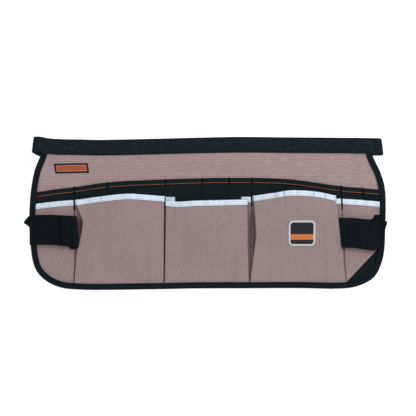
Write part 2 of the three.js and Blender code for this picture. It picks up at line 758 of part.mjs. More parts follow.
function edgeBinding() {
  const sections = OUTER.map((point, i) => {
    const inward = INNER[i].clone().sub(point).normalize();
    const inside = point.clone().addScaledVector(inward, BINDING_WIDTH / 2);
    const bottom = restLift(point.x, point.y) - EDGE_LIFT;
    const top = layersTop(inside.x, inside.y) + DRAPE + BINDING;
    const at = (depth, z) => point.clone().addScaledVector(inward, depth).setZ(z);
    return [
      at(BINDING_WIDTH, bottom),
      at(0, bottom),
      at(0, top),
      at(BINDING_WIDTH, top),
      at(BINDING_WIDTH, top - BINDING),
      at(BINDING, top - BINDING),
      at(BINDING, bottom + BINDING),
      at(BINDING_WIDTH, bottom + BINDING),
    ];
  });
  return sweep(sections, CHANNEL_CAPS);
}

// A webbing along a path of points in the XZ plane, each with the places in Y of its two edges. A lean moves the
// lower edge along the path.
function webbing(path, ring) {
  const steps = mitres(path, ring);
  const sections = path.map(({ x, z, low, high, lean = 0 }, i) => {
    const half = steps[i].clone().multiplyScalar(WEBBING / 2);
    const shift = (lean * (high - low)) / 2;
    const [lower, upper] = [new THREE.Vector3(x + shift, low, z), new THREE.Vector3(x - shift, high, z)];
    return [
      lower.clone().sub(half),
      upper.clone().sub(half),
      upper.clone().add(half),
      lower.clone().add(half),
    ];
  });
  return sweep(sections, [[0, 1, 2, 3]], ring);
}

// The belt's front run lies over the panel's top edge, and over the binding's ends
function beltFrontZ(x) {
  const y = up(OUTLINE[0].up) - BELT_WIDTH / 4;
  const corner = Math.min(sideX('right', y), -sideX('left', y));
  const overBinding = fade(Math.abs(x), corner - 4 * BINDING_WIDTH, corner - 2 * BINDING_WIDTH);
  const panelTop = restLift(x, y) - EDGE_LIFT * overBinding + CANVAS;
  const binding = overBinding * (EDGE_LIFT + BINDING + DRAPE);
  return panelTop + binding + DRAPE + WEBBING / 2;
}

// Its back run lies on the floor and rises through the buckle
function beltBackZ(x) {
  const inside = 1 - fade(Math.abs(x), IN_BUCKLE.level, IN_BUCKLE.foot);
  return WEBBING / 2 + inside * (BUCKLE_WALL + GAP);
}

function beltPoint(share, bow, z) {
  const middle = BELT_MIDDLE + bow(share) * BELT_WIDTH;
  return { x: across(share), z, low: middle - BELT_WIDTH / 2, high: middle + BELT_WIDTH / 2 };
}

function waistBelt() {
  const endZ = beltFrontZ(across(BELT_LEVEL));
  const radius = (endZ - WEBBING / 2) / 2;
  const fold = BELT_END - (radius + WEBBING / 2) / across(1);
  const bothWays = (half) => [...half.map((share) => -share), 0, ...[...half].reverse()];
  const run = ({ level, foot }) => bothWays([BELT_LEVEL, 0.84, 0.7, 0.5, 0.35, foot / across(1), level / across(1)]);
  const folded = (side) =>
    turn(across(side * fold), radius, WEBBING / 2 + radius, side).map(({ x, z }, k) => {
      const share = k / TURN_STEPS;
      const bow = (at) => mix(bowBack(at), bowFront(at), share);
      return { ...beltPoint(side * fold, bow, z), x };
    });
  const front = run(OVER_BUCKLE).map((share) => beltPoint(share, bowFront, beltFrontZ(across(share))));
  const back = run(IN_BUCKLE).map((share) => beltPoint(share, bowBack, beltBackZ(across(share)))).reverse();
  return webbing([...front, ...folded(1).reverse(), ...back, ...folded(-1)], true);
}

function beltBuckle() {
  const slotWidth = BELT_WIDTH + 4 * GAP;
  const slotHeight = WEBBING + 2 * GAP;
  const width = slotWidth + 2 * BUCKLE_WALL;
  const rectangle = (w, h, round) => {
    const path = new THREE.Path();
    path.moveTo(-w / 2 + round, -h / 2);
    path.lineTo(w / 2 - round, -h / 2);
    path.lineTo(w / 2, -h / 2 + round);
    path.lineTo(w / 2, h / 2 - round);
    path.lineTo(w / 2 - round, h / 2);
    path.lineTo(-w / 2 + round, h / 2);
    path.lineTo(-w / 2, h / 2 - round);
    path.lineTo(-w / 2, -h / 2 + round);
    path.closePath();
    return path;
  };
  const shape = new THREE.Shape(rectangle(width, BUCKLE_HEIGHT, BUCKLE_WALL / 2).getPoints());
  shape.holes.push(rectangle(slotWidth, slotHeight, GAP / 2));
  const geometry = new THREE.ExtrudeGeometry(shape, { depth: BUCKLE_LENGTH, bevelEnabled: false });
  geometry.translate(0, 0, -BUCKLE_LENGTH / 2);
  // The slot then runs along X, and the section's height along Z
  geometry.rotateX(Math.PI / 2);
  geometry.rotateZ(Math.PI / 2);
  geometry.translate(0, BELT_MIDDLE + bowBack(0) * BELT_WIDTH, BUCKLE_HEIGHT / 2);
  return geometry;
}

function hammerLoop({ middle, lean, stations }) {
  const y = up(middle);
  const edge = stations[0].across < 0 ? 'left' : 'right';
  const outward = edge === 'left' ? -1 : 1;
  const highY = y + LOOP_WIDTH / 2;
  const bindingTop = layersTop(sideX(edge, highY) - (outward * BINDING_WIDTH) / 2, highY) + DRAPE + BINDING;
  const underZ = bindingTop + GAP + WEBBING / 2;
  const overZ = underZ + WEBBING + LOOP_HOLLOW;
  const radius = (overZ - underZ) / 2;
  const path = stations.flatMap((station) => {
    const edges = { low: y + station.low * LOOP_WIDTH, high: y + station.high * LOOP_WIDTH, lean };
    if (station.turn === undefined) {
      const least = station.lift > 0 ? underZ + WEBBING + GAP : underZ;
      return [{ x: across(station.across), z: mix(least, station.lift > 0 ? overZ : underZ, station.lift), ...edges }];
    }
    const x = across(station.turn) + outward * (radius + WEBBING / 2);
    return turn(x, radius, underZ + radius, -outward).map((point) => ({ ...point, ...edges }));
  });
  return webbing(path, false);
}

function wovenLabel() {
  const turned = THREE.MathUtils.degToRad(LABEL_PLACE.turn);
  const middle = new THREE.Vector2(across(LABEL_PLACE.across), up(LABEL_PLACE.up));
  const rows = [-0.5, 0, 0.5].map((h) =>
    [-0.5, -0.25, 0, 0.25, 0.5].map((w) => {
      const at = new THREE.Vector2(w * LABEL_LENGTH, h * LABEL_WIDTH);
      at.rotateAround(new THREE.Vector2(), turned).add(middle);
      return flatPoint(at.x, at.y, restLift(at.x, at.y) + CANVAS + DRAPE + BADGE / 2, BADGE);
    }),
  );
  return wall(rows);
}

// The patch follows the right pouch's front, whose height it reads from the pouch's path
function frontPatch() {
  const pouch = POUCHES[2];
  const middle = { x: across(PATCH_PLACE.across), y: up(PATCH_PLACE.up) };
  const mouth = up(through(pouch.mouth, 'along', 'up')(0.5));
  const bottom = placeBottom(pouch.place + 0.5);
  const frontZ = (x, y) => {
    const path = pouchPath(pouch, (y - bottom) / (mouth - bottom));
    const front = path.slice(2 * TURN_STEPS + 3, -2 * TURN_STEPS - 3);
    return crossing(front, x, 'x', 'z');
  };
  const rows = [-0.5, -0.4, -0.2, 0, 0.2, 0.4, 0.5].map((h) => {
    const narrowing = Math.abs(h) === 0.5 ? PATCH_CORNER : 1;
    return [-0.5, -0.25, 0, 0.25, 0.5].map((w) => {
      const x = middle.x + w * PATCH_WIDTH * narrowing;
      const y = middle.y + h * PATCH_HEIGHT;
      return flatPoint(x, y, frontZ(x, y) + CANVAS / 2 + 1.5 * DRAPE + BADGE / 2, BADGE);
    });
  });
  return wall(rows);
}

const cloth = (color, roughness = 0.95) => new THREE.MeshStandardMaterial({ color, roughness, metalness: 0 });
const MATERIALS = {
  canvas: cloth(0x948482),
  panel: cloth(0x9e8a89),
  black: cloth(0x1c2428),
  binding: cloth(0x20262b),
  webbing: cloth(0x1e252a, 0.85),
  silver: cloth(0xdbe4ee, 0.45),
  plastic: cloth(0x17191b, 0.5),
  label: cloth(0xa8492c, 0.8),
  patch: cloth(0x3a3a42, 0.7),
};

const apron = new THREE.Group();
function add(name, geometry, material) {
  const mesh = new THREE.Mesh(geometry, material);
  mesh.name = name;
  apron.add(mesh);
}

add('backing_panel', backingPanel(), MATERIALS.panel);
add('rear_pocket_layer', rearPocketLayer(), MATERIALS.black);

const leftSide = rowsOf(leftSideColumns());
const rightSide = rowsOf(rightSideColumns());
add('left_side_pocket', wall(leftSide), MATERIALS.canvas);
add('right_side_pocket', wall(rightSide), MATERIALS.canvas);
add('left_side_mouth_tape', mouthTape(leftSide, 1), MATERIALS.silver);
add('right_side_mouth_tape', mouthTape(rightSide, 0, rightSide[0].length - 2), MATERIALS.silver);

for (const pouch of POUCHES) {
  const rows = pouchRows(pouch);
  add(`${pouch.name}_pouch`, wall(rows), MATERIALS.canvas);
  add(`${pouch.name}_pouch_mouth_tape`, mouthTape(rows), MATERIALS.silver);
}

add('edge_binding', edgeBinding(), MATERIALS.binding);
add('waist_belt', waistBelt(), MATERIALS.webbing);
add('belt_buckle', beltBuckle(), MATERIALS.plastic);
add('left_hammer_loop', hammerLoop(LEFT_LOOP), MATERIALS.webbing);
add('right_hammer_loop', hammerLoop(RIGHT_LOOP), MATERIALS.webbing);
add('woven_label', wovenLabel(), MATERIALS.label);
add('front_patch', frontPatch(), MATERIALS.patch);

export default apron;
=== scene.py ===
# A carpenter's nail apron, lying on its back on a pale floor.
# Lengths are in millimetres, and meshes in metres.

import math

import bpy
import numpy as np
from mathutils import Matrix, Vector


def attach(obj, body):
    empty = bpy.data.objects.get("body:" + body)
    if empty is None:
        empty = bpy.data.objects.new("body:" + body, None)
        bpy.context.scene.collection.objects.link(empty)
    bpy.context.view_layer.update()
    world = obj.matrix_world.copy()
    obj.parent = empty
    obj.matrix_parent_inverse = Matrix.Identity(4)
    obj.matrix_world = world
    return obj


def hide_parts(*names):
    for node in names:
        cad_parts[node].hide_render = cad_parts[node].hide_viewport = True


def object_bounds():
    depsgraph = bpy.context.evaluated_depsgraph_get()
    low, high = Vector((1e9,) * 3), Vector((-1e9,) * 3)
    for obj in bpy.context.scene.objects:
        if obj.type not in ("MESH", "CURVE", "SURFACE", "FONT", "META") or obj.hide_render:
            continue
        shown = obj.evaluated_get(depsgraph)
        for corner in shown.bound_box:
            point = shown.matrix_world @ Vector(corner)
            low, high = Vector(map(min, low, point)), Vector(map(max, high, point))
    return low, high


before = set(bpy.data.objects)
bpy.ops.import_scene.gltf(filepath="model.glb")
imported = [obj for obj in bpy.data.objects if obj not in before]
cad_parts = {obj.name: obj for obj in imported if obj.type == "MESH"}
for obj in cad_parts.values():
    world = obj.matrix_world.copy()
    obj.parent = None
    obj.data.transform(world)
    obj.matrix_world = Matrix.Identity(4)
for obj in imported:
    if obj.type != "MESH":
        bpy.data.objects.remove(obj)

CAD_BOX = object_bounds()
MM = 0.001
rng = np.random.default_rng(8)

# Driving dimensions. A material's name alone is its thickness.
APRON_WIDTH = 578
APRON_HEIGHT = 245.5
CANVAS = 1
WEBBING = 1.5
BINDING = 0.8
BINDING_WIDTH = 9.6
BINDING_COVER = 10.3  # how far in its upper flange reaches
MOUTH_TAPE = 0.6
TAPE_FLANGE = 7.9  # how far the tape reaches below the cloth's edge
TAPE_SPACE = 0.15  # between the tape and the cloth
TAPE_ROOM = 1.0  # what the tape's back flange lifts the strip's edge by
TAPE_BULK = 1.4  # what the tape adds to each layer of a pleat at the mouth
HEM = 0.8  # how much thicker the rear layer is along its mouth
HEM_DEPTH = 9.5
HEM_END = 0.6  # half of the way over which the hem's thickness ends
TOPSTITCH_DEPTH = 7.6
STITCH_PULL = 0.35  # how deep the topstitch lies in the cloth
STITCH_PULL_REACH = 0.9
BELT_WIDTH = 25.4
LOOP_WIDTH = 50.8
LOOP_HOLLOW = 5  # inside a hammer loop that stands full
PLEAT_DEPTH = 15
POUCH_RISE = 8
REAR_RISE = 3.2
SIDE_RISE = 1.4
CREASE_DEPTH = 1.1
CREASE_WIDTH = 0.016  # a share of a pouch's front
CRUMPLE = 0.7  # how far the cloth's broad unevenness lifts it
BUCKLE_LENGTH = 46
BUCKLE_WALL = 1.3
LABEL_LENGTH = 55
LABEL_WIDTH = 16
LABEL_BORDER = 2.6
LABEL_LINE = 3.8  # from the label's edge to the thin line round its field
PATCH_WIDTH = 44
PATCH_HEIGHT = 42
PATCH_ROUND = 8
PATCH_RIM = 3.4
PATCH_BAND = 8.5
PATCH_BAND_MIDDLE = -6
BADGE = 0.8  # the label and the patch
GAP = 0.3  # between two layers

# Sizes that follow
DRAPE = 2 * GAP
EDGE_INSET = BINDING + 2 * GAP
EDGE_LIFT = BINDING + DRAPE
BACK_LIFT = WEBBING + GAP
BUCKLE_HEIGHT = 2 * BUCKLE_WALL + 2 * GAP + WEBBING
BUCKLE_LIFT = BUCKLE_HEIGHT - WEBBING
OVER_BUCKLE = (0.75 * BUCKLE_LENGTH, 1.4 * BUCKLE_LENGTH)
IN_BUCKLE = (0.55 * BUCKLE_LENGTH, 1.1 * BUCKLE_LENGTH)
FLAT_EDGE = 1.9 * BINDING_WIDTH
EDGE_SAG = 1.8 * BINDING_WIDTH
BOTTOM_PITCH = CANVAS + GAP
MOUTH_PITCH = CANVAS + TAPE_BULK + 5 * GAP


def across(share):
    return share * APRON_WIDTH / 2


def up(share):
    return (share - 0.5) * APRON_HEIGHT


# The outer edge, from under the belt at the left, down, along the bottom and up to the belt at the right
OUTLINE = {
    "across": [-0.925, -0.94, -0.977, -0.999, -1, -0.971, -0.914, -0.833, -0.72, -0.04, 0.52, 0.72, 0.82, 0.9,
               0.948, 0.988, 1, 0.998, 0.974, 0.93, 0.918],
    "up": [0.955, 0.892, 0.78, 0.6, 0.34, 0.142, 0.062, 0.016, 0, 0.007, 0.009, 0.006, 0.016, 0.05,
           0.098, 0.215, 0.42, 0.67, 0.775, 0.886, 0.955],
}
CORNER = 0.8  # across, where the sides end and the bottom edge starts
LAST_PLACE = 4.9999  # just inside the right edge
SEAM_TOPS = [-0.7515, -0.2405, 0.2475, 0.7535]
SEAM_BOTTOMS = [-0.7545, -0.246, 0.235, 0.781]
SEAM_BOWS = [1.9, 0, 0, 0]  # how far each stands to the right of straight, halfway up

# Mouths. A place along the apron counts its sections: 0 is the left edge, 1 to 4 are the seams, and 5 is the
# right edge.
SIDE_MOUTH = {"place": [0, 1, 4, 5], "up": [0.562, 0.59, 0.598, 0.577]}
REAR_MOUTH = {
    "place": [0, 0.6, 1, 1.4, 2, 2.7, 3.4, 4, 4.5, 5],
    "up": [0.64, 0.666, 0.68, 0.712, 0.73, 0.74, 0.732, 0.686, 0.672, 0.66],
}

# The rear layer's slots: where each ends, how far it stands off and where its crown is
SLOTS = {
    "end": [1, 1.364, 2, 2.427, 2.738, 3, 4, 4.51, 5],
    "rise": [0.35, 1, 0.5, 0.5, 0.4, 0.3, 0.9, 0.4, 0.3],
    "crown": [0.5, 0.7, 0.4, 0.5, 0.5, 0.5, 0.76, 0.5, 0.5],
}

# A fold reaches in from its seam by shares of the pleat depth. Dark is how much painted shade darkens the
# tucked cloth.
POUCHES = [
    {
        "place": 1,
        "mouth": {"along": [0, 0.25, 0.58, 0.85, 1], "up": [0.592, 0.612, 0.631, 0.623, 0.616]},
        "creases": [0.31],
        "left": {"under": 0.594, "pleat": 1.75,
                 "fold": {"rise": [0, 0.2, 0.4, 0.55, 0.75, 0.85, 0.93],
                          "in": [0.03, 0.1, 0.2, 0.54, 0.87, 0.6, 0.3],
                          "dark": [0.5, 0.75, 1, 1, 0.9, 0.15, 0.1]}},
        "right": {"under": 0.616, "pleat": 1,
                  "fold": {"rise": [0, 0.7, 0.93], "in": [0.06, 0.06, 0.06], "dark": [0.5, 0.5, 0.2]}},
    },
    {
        "place": 2,
        "mouth": {"along": [0, 0.14, 0.35, 0.7, 1], "up": [0.587, 0.58, 0.586, 0.59, 0.595]},
        "creases": [],
        "left": {"under": 0.611, "pleat": 0.9,
                 "fold": {"rise": [0, 0.7, 0.93], "in": [0.1, 0.11, 0.12], "dark": [0.5, 0.5, 0.2]}},
        "right": {"under": 0.612, "pleat": 0.95,
                  "fold": {"rise": [0, 0.3, 0.5, 0.7, 0.93], "in": [0.05, 0.2, 0.3, 0.34, 0.46],
                           "dark": [0.7, 0.7, 0.7, 0.7, 0.25]}},
    },
    {
        "place": 3,
        "mouth": {"along": [0, 0.26, 0.42, 0.62, 0.8, 1], "up": [0.62, 0.64, 0.653, 0.652, 0.643, 0.622]},
        "creases": [0.26, 0.354, 0.68, 0.805],
        "left": {"under": 0.62, "pleat": 1.1,
                 "fold": {"rise": [0, 0.19, 0.4, 0.57, 0.79, 0.93], "in": [0.02, 0.17, 0.38, 0.5, 0.31, 0.22],
                          "dark": [0.85, 0.85, 0.85, 0.85, 0.7, 0.3]}},
        "right": {"under": 0.6, "pleat": 1.35,
                  "fold": {"rise": [0, 0.4, 0.62, 0.78, 0.92], "in": [0.04, 0.21, 0.36, 0.46, 0.66],
                           "dark": [0.25, 0.25, 0.25, 0.2, 0.08]}},
    },
]

CUT = {"high": (0.943, 0.252), "low": (0.782, 0.052)}  # across and up

BELT_BOW = {
    "across": [-0.985, -0.945, -0.9, -0.85, -0.72, -0.6, -0.27, -0.04, 0.21, 0.46, 0.75, 1],
    "front": [0.14, 0.12, 0.03, -0.02, -0.05, -0.077, 0.003, 0.06, 0.11, 0.083, 0.06, 0.02],
    "back": [0.12, -0.12, -0.11, -0.1, -0.1, -0.1, -0.1, -0.1, -0.1, -0.1, -0.09, -0.08],
}
BELT_END = 0.985
BELT_LEVEL = (0.88, 0.9)  # across, where the front run turns level
BELT_LEAN = 0.13
BELT_CREASES = [0.94]  # across
BELT_CREASE_DEPTH = 0.55
BELT_CREASE_REACH = 1.6
# Painted shade along the belt's crease
BELT_CREASE_PAINTED_SHADE = 0.7

# The hammer loops, from the tip at the apron's edge, in under and back over. Each row is a place across, the
# two edges as shares of the width from its middle, and the share of the loop's full height. A shade band is a
# stripe of painted shade across the webbing: its place across, its reach and its strength.
LOOPS = {
    "left_loop_webbing": {
        "side": "left", "middle": 0.39, "lean": 0.07, "turn": -0.7255, "turn_edges": (-0.53, 0.477),
        "under": [(-1.031, 0.24, 0.29, 0), (-1.0113, 0.17, 0.44, 0), (-0.9955, 0.08, 0.5, 0),
                  (-0.985, -0.43, 0.49, 0), (-0.9, -0.43, 0.49, 0), (-0.79, -0.44, 0.48, 0),
                  (-0.777, -0.585, 0.46, 0), (-0.748, -0.585, 0.46, 0)],
        "over": [(-0.8, -0.49, 0.49, 1), (-0.86, -0.45, 0.51, 1), (-0.93, -0.44, 0.51, 0.6),
                 (-0.97, -0.45, 0.505, 0.2), (-0.998, -0.45, 0.5, 0.12)],
        "shade_bands": [(-0.826, 4.6, 0.9), (-0.765, 1.8, 0.4)],
    },
    "right_loop_webbing": {
        "side": "right", "middle": 0.375, "lean": 0.11, "turn": 0.7415, "turn_edges": (-0.468, 0.49),
        "under": [(0.985, -0.5, 0.38, 0), (0.977, -0.5, 0.583, 0), (0.935, -0.5, 0.583, 0),
                  (0.93, -0.5, 0.43, 0), (0.85, -0.46, 0.46, 0), (0.79, -0.45, 0.48, 0)],
        "over": [(0.808, -0.468, 0.49, 1), (0.866, -0.52, 0.465, 1), (0.909, -0.545, 0.435, 0.9),
                 (0.953, -0.57, 0.415, 0.3), (0.98, -0.55, 0.4, 0.16), (0.993, 0.08, 0.397, 0.12),
                 (1.0075, 0.32, 0.365, 0.12)],
        "shade_bands": [(0.79, 2.2, 0.4), (0.975, 1.6, 0.5)],
    },
}

LABEL_PLACE = {"across": -0.767, "up": 0.804, "turn": math.radians(1.2), "lean": 0.13}
PATCH_PLACE = {"across": 0.528, "up": 0.374}
BAND = 0.8  # the share of a pocket's height where its cloth is fully open
MOUTH_LEVEL = up(0.6)
BOTTOM_LEVEL = up(0)


# Curves and tables

def mix(a, b, share):
    return a + (b - a) * share


def fade(value, start, end):
    t = np.clip((value - start) / (end - start), 0, 1)
    return t * t * (3 - 2 * t)


def through(table, key, column):
    """A smooth function of one column through a table, level beyond its ends."""
    at, values = np.array(table[key], float), np.array(table[column], float)
    before = np.maximum(np.arange(len(at)) - 1, 0)
    after = np.minimum(np.arange(len(at)) + 1, len(at) - 1)
    slopes = (values[after] - values[before]) / (at[after] - at[before])

    def curve(where):
        where = np.clip(where, at[0], at[-1])
        end = np.clip(np.searchsorted(at, where, side="right"), 1, len(at) - 1)
        start = end - 1
        span = at[end] - at[start]
        t = (where - at[start]) / span
        bend = (slopes[start] * (1 - t) - slopes[end] * t) * span * t * (1 - t)
        return mix(values[start], values[end], t * t * (3 - 2 * t)) + bend

    return curve


def joined(*columns):
    """Columns of numbers side by side, as the coordinates of points."""
    return np.stack(np.broadcast_arrays(*columns), axis=-1)


def hump(away, reach):
    """1 where the distance is nothing, and near 0 beyond twice the reach."""
    return np.exp(-(away / reach) ** 2)


def unit(vectors):
    return vectors / np.linalg.norm(vectors, axis=-1, keepdims=True)


def lengths(points):
    """The distance along a line of points, at each point."""
    steps = np.linalg.norm(np.diff(points, axis=0), axis=1)
    return np.concatenate([[0], np.cumsum(steps)])


def points_at(points, at):
    """Points at distances along a line of points."""
    along = lengths(points)
    return np.stack([np.interp(at, along, column) for column in points.T], axis=1)


def resample(points, spacing):
    length = lengths(points)[-1]
    count = max(2, int(round(length / spacing)) + 1)
    return points_at(points, np.linspace(0, length, count))


def closed(line):
    return np.vstack([line, line[:1]])


def rounded(half, radius, steps):
    """A rectangle with rounded corners, as points round it."""
    corner = np.linspace(0, math.pi / 2, steps)
    points = []
    for k, (sx, sy) in enumerate([(1, 1), (-1, 1), (-1, -1), (1, -1)]):
        angle = corner + k * math.pi / 2
        x = sx * (half[0] - radius) + radius * np.cos(angle)
        y = sy * (half[1] - radius) + radius * np.sin(angle)
        points.append(joined(x, y))
    return np.concatenate(points)


def smooth_line(knots, spacing):
    """A centripetal curve through knots, resampled at an even spacing."""
    knots = np.array(knots, float)
    padded = np.vstack([2 * knots[0] - knots[1], knots, 2 * knots[-1] - knots[-2]])
    samples = 24
    t = np.linspace(0, 1, samples, endpoint=False)[:, None]
    pieces = []
    for i in range(len(knots) - 1):
        p0, p1, p2, p3 = padded[i:i + 4]
        d0, d1, d2 = (math.sqrt(np.linalg.norm(b - a)) for a, b in [(p0, p1), (p1, p2), (p2, p3)])
        m1 = ((p1 - p0) / d0 - (p2 - p0) / (d0 + d1) + (p2 - p1) / d1) * d1
        m2 = ((p2 - p1) / d1 - (p3 - p1) / (d1 + d2) + (p3 - p2) / d2) * d1
        curve = p1 + m1 * t + (3 * (p2 - p1) - 2 * m1 - m2) * t ** 2 + (2 * (p1 - p2) + m1 + m2) * t ** 3
        pieces.append(curve)
    return resample(np.vstack([*pieces, knots[-1:]]), spacing)


def blurred(values, reach):
    """Values along a line, averaged with their neighbours. The ends stay."""
    steps = np.arange(-int(3 * reach), int(3 * reach) + 1)
    weights = np.exp(-0.5 * (steps / reach) ** 2)
    held = np.concatenate([2 * values[0] - values[len(steps) // 2:0:-1], values,
                           2 * values[-1] - values[-2:-2 - len(steps) // 2:-1]])
    return np.convolve(held, weights / weights.sum(), mode="valid")


OUTER = smooth_line([(across(a), up(u)) for a, u in zip(OUTLINE["across"], OUTLINE["up"])], 1.5)
AHEAD = unit(np.gradient(OUTER, axis=0))
INWARD = joined(-AHEAD[:, 1], AHEAD[:, 0])
INNER = OUTER + INWARD * EDGE_INSET
LEFT_SIDE = INNER[:np.argmax(INNER[:, 0] > across(-CORNER)) + 1][::-1]
RIGHT_SIDE = INNER[np.argmax(INNER[:, 0] > across(CORNER)) - 1:]
LOW_EDGE = INNER[INNER[:, 1] < up(0.3)]


def side_x(side, y):
    line = LEFT_SIDE if side == "left" else RIGHT_SIDE
    return np.interp(y, line[:, 1], line[:, 0])


def bottom_y(x):
    return np.interp(x, LOW_EDGE[:, 0], LOW_EDGE[:, 1])


# How far each point of a grid over the apron lies from the outer edge
GRID_STEP = 2
GRID_X = np.arange(across(-1.06), across(1.06), GRID_STEP)
GRID_Y = np.arange(up(-0.06), up(1.06), GRID_STEP)
EDGE_DISTANCE = np.array([
    [np.min(np.hypot(OUTER[:, 0] - x, OUTER[:, 1] - y)) for x in GRID_X] for y in GRID_Y
])


def edge_distance(x, y):
    i = np.clip((np.asarray(y, float) - GRID_Y[0]) / GRID_STEP, 0, len(GRID_Y) - 1.001)
    j = np.clip((np.asarray(x, float) - GRID_X[0]) / GRID_STEP, 0, len(GRID_X) - 1.001)
    i, j = np.broadcast_arrays(i, j)
    row, column = i.astype(int), j.astype(int)
    low = mix(EDGE_DISTANCE[row, column], EDGE_DISTANCE[row, column + 1], j - column)
    high = mix(EDGE_DISTANCE[row + 1, column], EDGE_DISTANCE[row + 1, column + 1], j - column)
    return mix(low, high, i - row)


def seam_x(index, y):
    rise = (y - BOTTOM_LEVEL) / (MOUTH_LEVEL - BOTTOM_LEVEL)
    climb = np.clip(rise, 0, 1)
    bow = SEAM_BOWS[index] * 4 * climb * (1 - climb)
    return across(mix(SEAM_BOTTOMS[index], SEAM_TOPS[index], rise)) + bow


def section_ends(section, y):
    start = side_x("left", y) if section == 0 else seam_x(section - 1, y)
    end = side_x("right", y) if section == 4 else seam_x(section, y)
    return start, end


def place_x(place, y):
    section = min(4, int(place))
    start, end = section_ends(section, y)
    return mix(start, end, place - section)


def place_at(x, y):
    x, y = np.broadcast_arrays(np.asarray(x, float), np.asarray(y, float))
    place = np.zeros(x.shape)
    for section in range(5):
        start, end = section_ends(section, y)
        inside = x >= start if section else np.full(x.shape, True)
        place = np.where(inside, section + np.clip((x - start) / (end - start), 0, 1), place)
    return place


def place_bottom(place):
    if 1 <= place <= 4:
        return bottom_y(place_x(place, BOTTOM_LEVEL))
    outer = across(-CORNER if place < 1 else CORNER)
    seam = seam_x(0 if place < 1 else 3, BOTTOM_LEVEL)
    return bottom_y(mix(outer, seam, place if place < 1 else 5 - place))


def mouth_height(table):
    share = through(table, "place", "up")
    return lambda place: up(share(place))


side_mouth = mouth_height(SIDE_MOUTH)
rear_mouth = mouth_height(REAR_MOUTH)
bow_front = through(BELT_BOW, "across", "front")
bow_back = through(BELT_BOW, "across", "back")

BELT_MIDDLE = up(1) - BELT_WIDTH / 2
BELT_LOW = BELT_MIDDLE - BELT_WIDTH / 2
REAR_CROWN = up(max(REAR_MOUTH["up"]))
SAG_TOP = BELT_LOW - 0.2 * BELT_WIDTH
SAG_FOOT = mix(REAR_CROWN, SAG_TOP, 0.12)


class Waves:
    """Smooth seeded unevenness from -1 to 1: sine waves in many directions between two wavelengths."""

    def __init__(self, shortest, longest, count=14):
        angle = rng.uniform(0, math.tau, count)
        length = np.exp(rng.uniform(math.log(shortest), math.log(longest), count))
        self.kx = np.cos(angle) * math.tau / length
        self.ky = np.sin(angle) * math.tau / length
        self.phase = rng.uniform(0, math.tau, count)

    def __call__(self, x, y):
        x, y = np.broadcast_arrays(np.asarray(x, float), np.asarray(y, float))
        waves = np.sin(x[..., None] * self.kx + y[..., None] * self.ky + self.phase)
        return np.clip(waves.sum(axis=-1) / math.sqrt(1.5 * len(self.phase)), -1, 1)


def clear_of_edge(x, y):
    return fade(edge_distance(x, y), FLAT_EDGE, FLAT_EDGE + EDGE_SAG)


broad_waves = Waves(45, 140)
fine_waves = Waves(14, 40)


def crumple(x, y):
    """The cloth's broad unevenness, between nothing and CRUMPLE, and flat along the edges."""
    clear = fade(edge_distance(x, y), FLAT_EDGE, 3 * FLAT_EDGE)
    return CRUMPLE * clear * (0.5 + 0.38 * broad_waves(x, y) + 0.12 * fine_waves(x, y))


def rest_lift(x, y):
    """The height of the panel's underside."""
    over_belt = fade(y, SAG_FOOT, SAG_TOP)
    over_buckle = 1 - fade(np.abs(x), *OVER_BUCKLE)
    near_edge = 1 - clear_of_edge(x, y)
    return over_belt * (BACK_LIFT + BUCKLE_LIFT * over_buckle) + EDGE_LIFT * near_edge + crumple(x, y)


def rear_rise(x, y):
    """How far the rear layer stands off the panel."""
    place = place_at(x, y)
    ends = np.array(SLOTS["end"])
    slot = np.clip(np.searchsorted(ends, place, side="left"), 0, len(ends) - 1)
    starts = np.concatenate([[0], ends[:-1]])
    share = np.clip((place - starts[slot]) / (ends[slot] - starts[slot]), 0, 1)
    centred = share ** (math.log(0.5) / np.log(np.array(SLOTS["crown"])[slot]))
    mouth = rear_mouth(place)
    towards_mouth = fade(y, mouth - 0.3 * APRON_HEIGHT, mouth)
    bulge = np.array(SLOTS["rise"])[slot] * REAR_RISE * np.sin(math.pi * centred) ** 2
    return bulge * towards_mouth * clear_of_edge(x, y)


def below_band(rise):
    return np.minimum(1, rise / BAND)


def tape_room(rise):
    return TAPE_ROOM * fade(below_band(rise), 0.6, 1)


# Meshes

def make_mesh(name, points, faces, uv=None, sharp=50):
    """A mesh object from points in millimetres and groups of faces, turned so that they face outwards."""
    points = np.asarray(points, float).reshape(-1, 3) * MM
    volume = 0
    for group in faces:
        for k in range(1, group.shape[1] - 1):
            a, b, c = points[group[:, 0]], points[group[:, k]], points[group[:, k + 1]]
            volume += np.einsum("ij,ij->", a, np.cross(b, c))
    if volume < 0:
        faces = [group[:, ::-1] for group in faces]
    mesh = bpy.data.meshes.new(name)
    corners = np.concatenate([group.ravel() for group in faces]).astype(np.int32)
    counts = np.concatenate([np.full(len(group), group.shape[1]) for group in faces])
    starts = np.concatenate([[0], np.cumsum(counts)[:-1]]).astype(np.int32)
    mesh.vertices.add(len(points))
    mesh.vertices.foreach_set("co", points.astype(np.float32).ravel())
    mesh.loops.add(len(corners))
    mesh.loops.foreach_set("vertex_index", corners)
    mesh.polygons.add(len(counts))
    mesh.polygons.foreach_set("loop_start", starts)
    if uv is not None:
        layer = mesh.uv_layers.new(name="cloth")
        flat = np.asarray(uv, float).reshape(-1, 2)[corners]
        layer.data.foreach_set("uv", flat.astype(np.float32).ravel())
    mesh.update(calc_edges=True)
    mesh.validate()
    mesh.shade_smooth()
    mesh.set_sharp_from_angle(angle=math.radians(sharp))
    piece = bpy.data.objects.new(name, mesh)
    bpy.context.scene.collection.objects.link(piece)
    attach(piece, "root")
    return piece


def paint_shade(piece, values):
    """Marks the painted shade at each point of a cloth, where it is tucked in or creased."""
    marked = piece.data.attributes.new("dark", "FLOAT", "POINT")
    marked.data.foreach_set("value", np.asarray(values, np.float32).ravel())


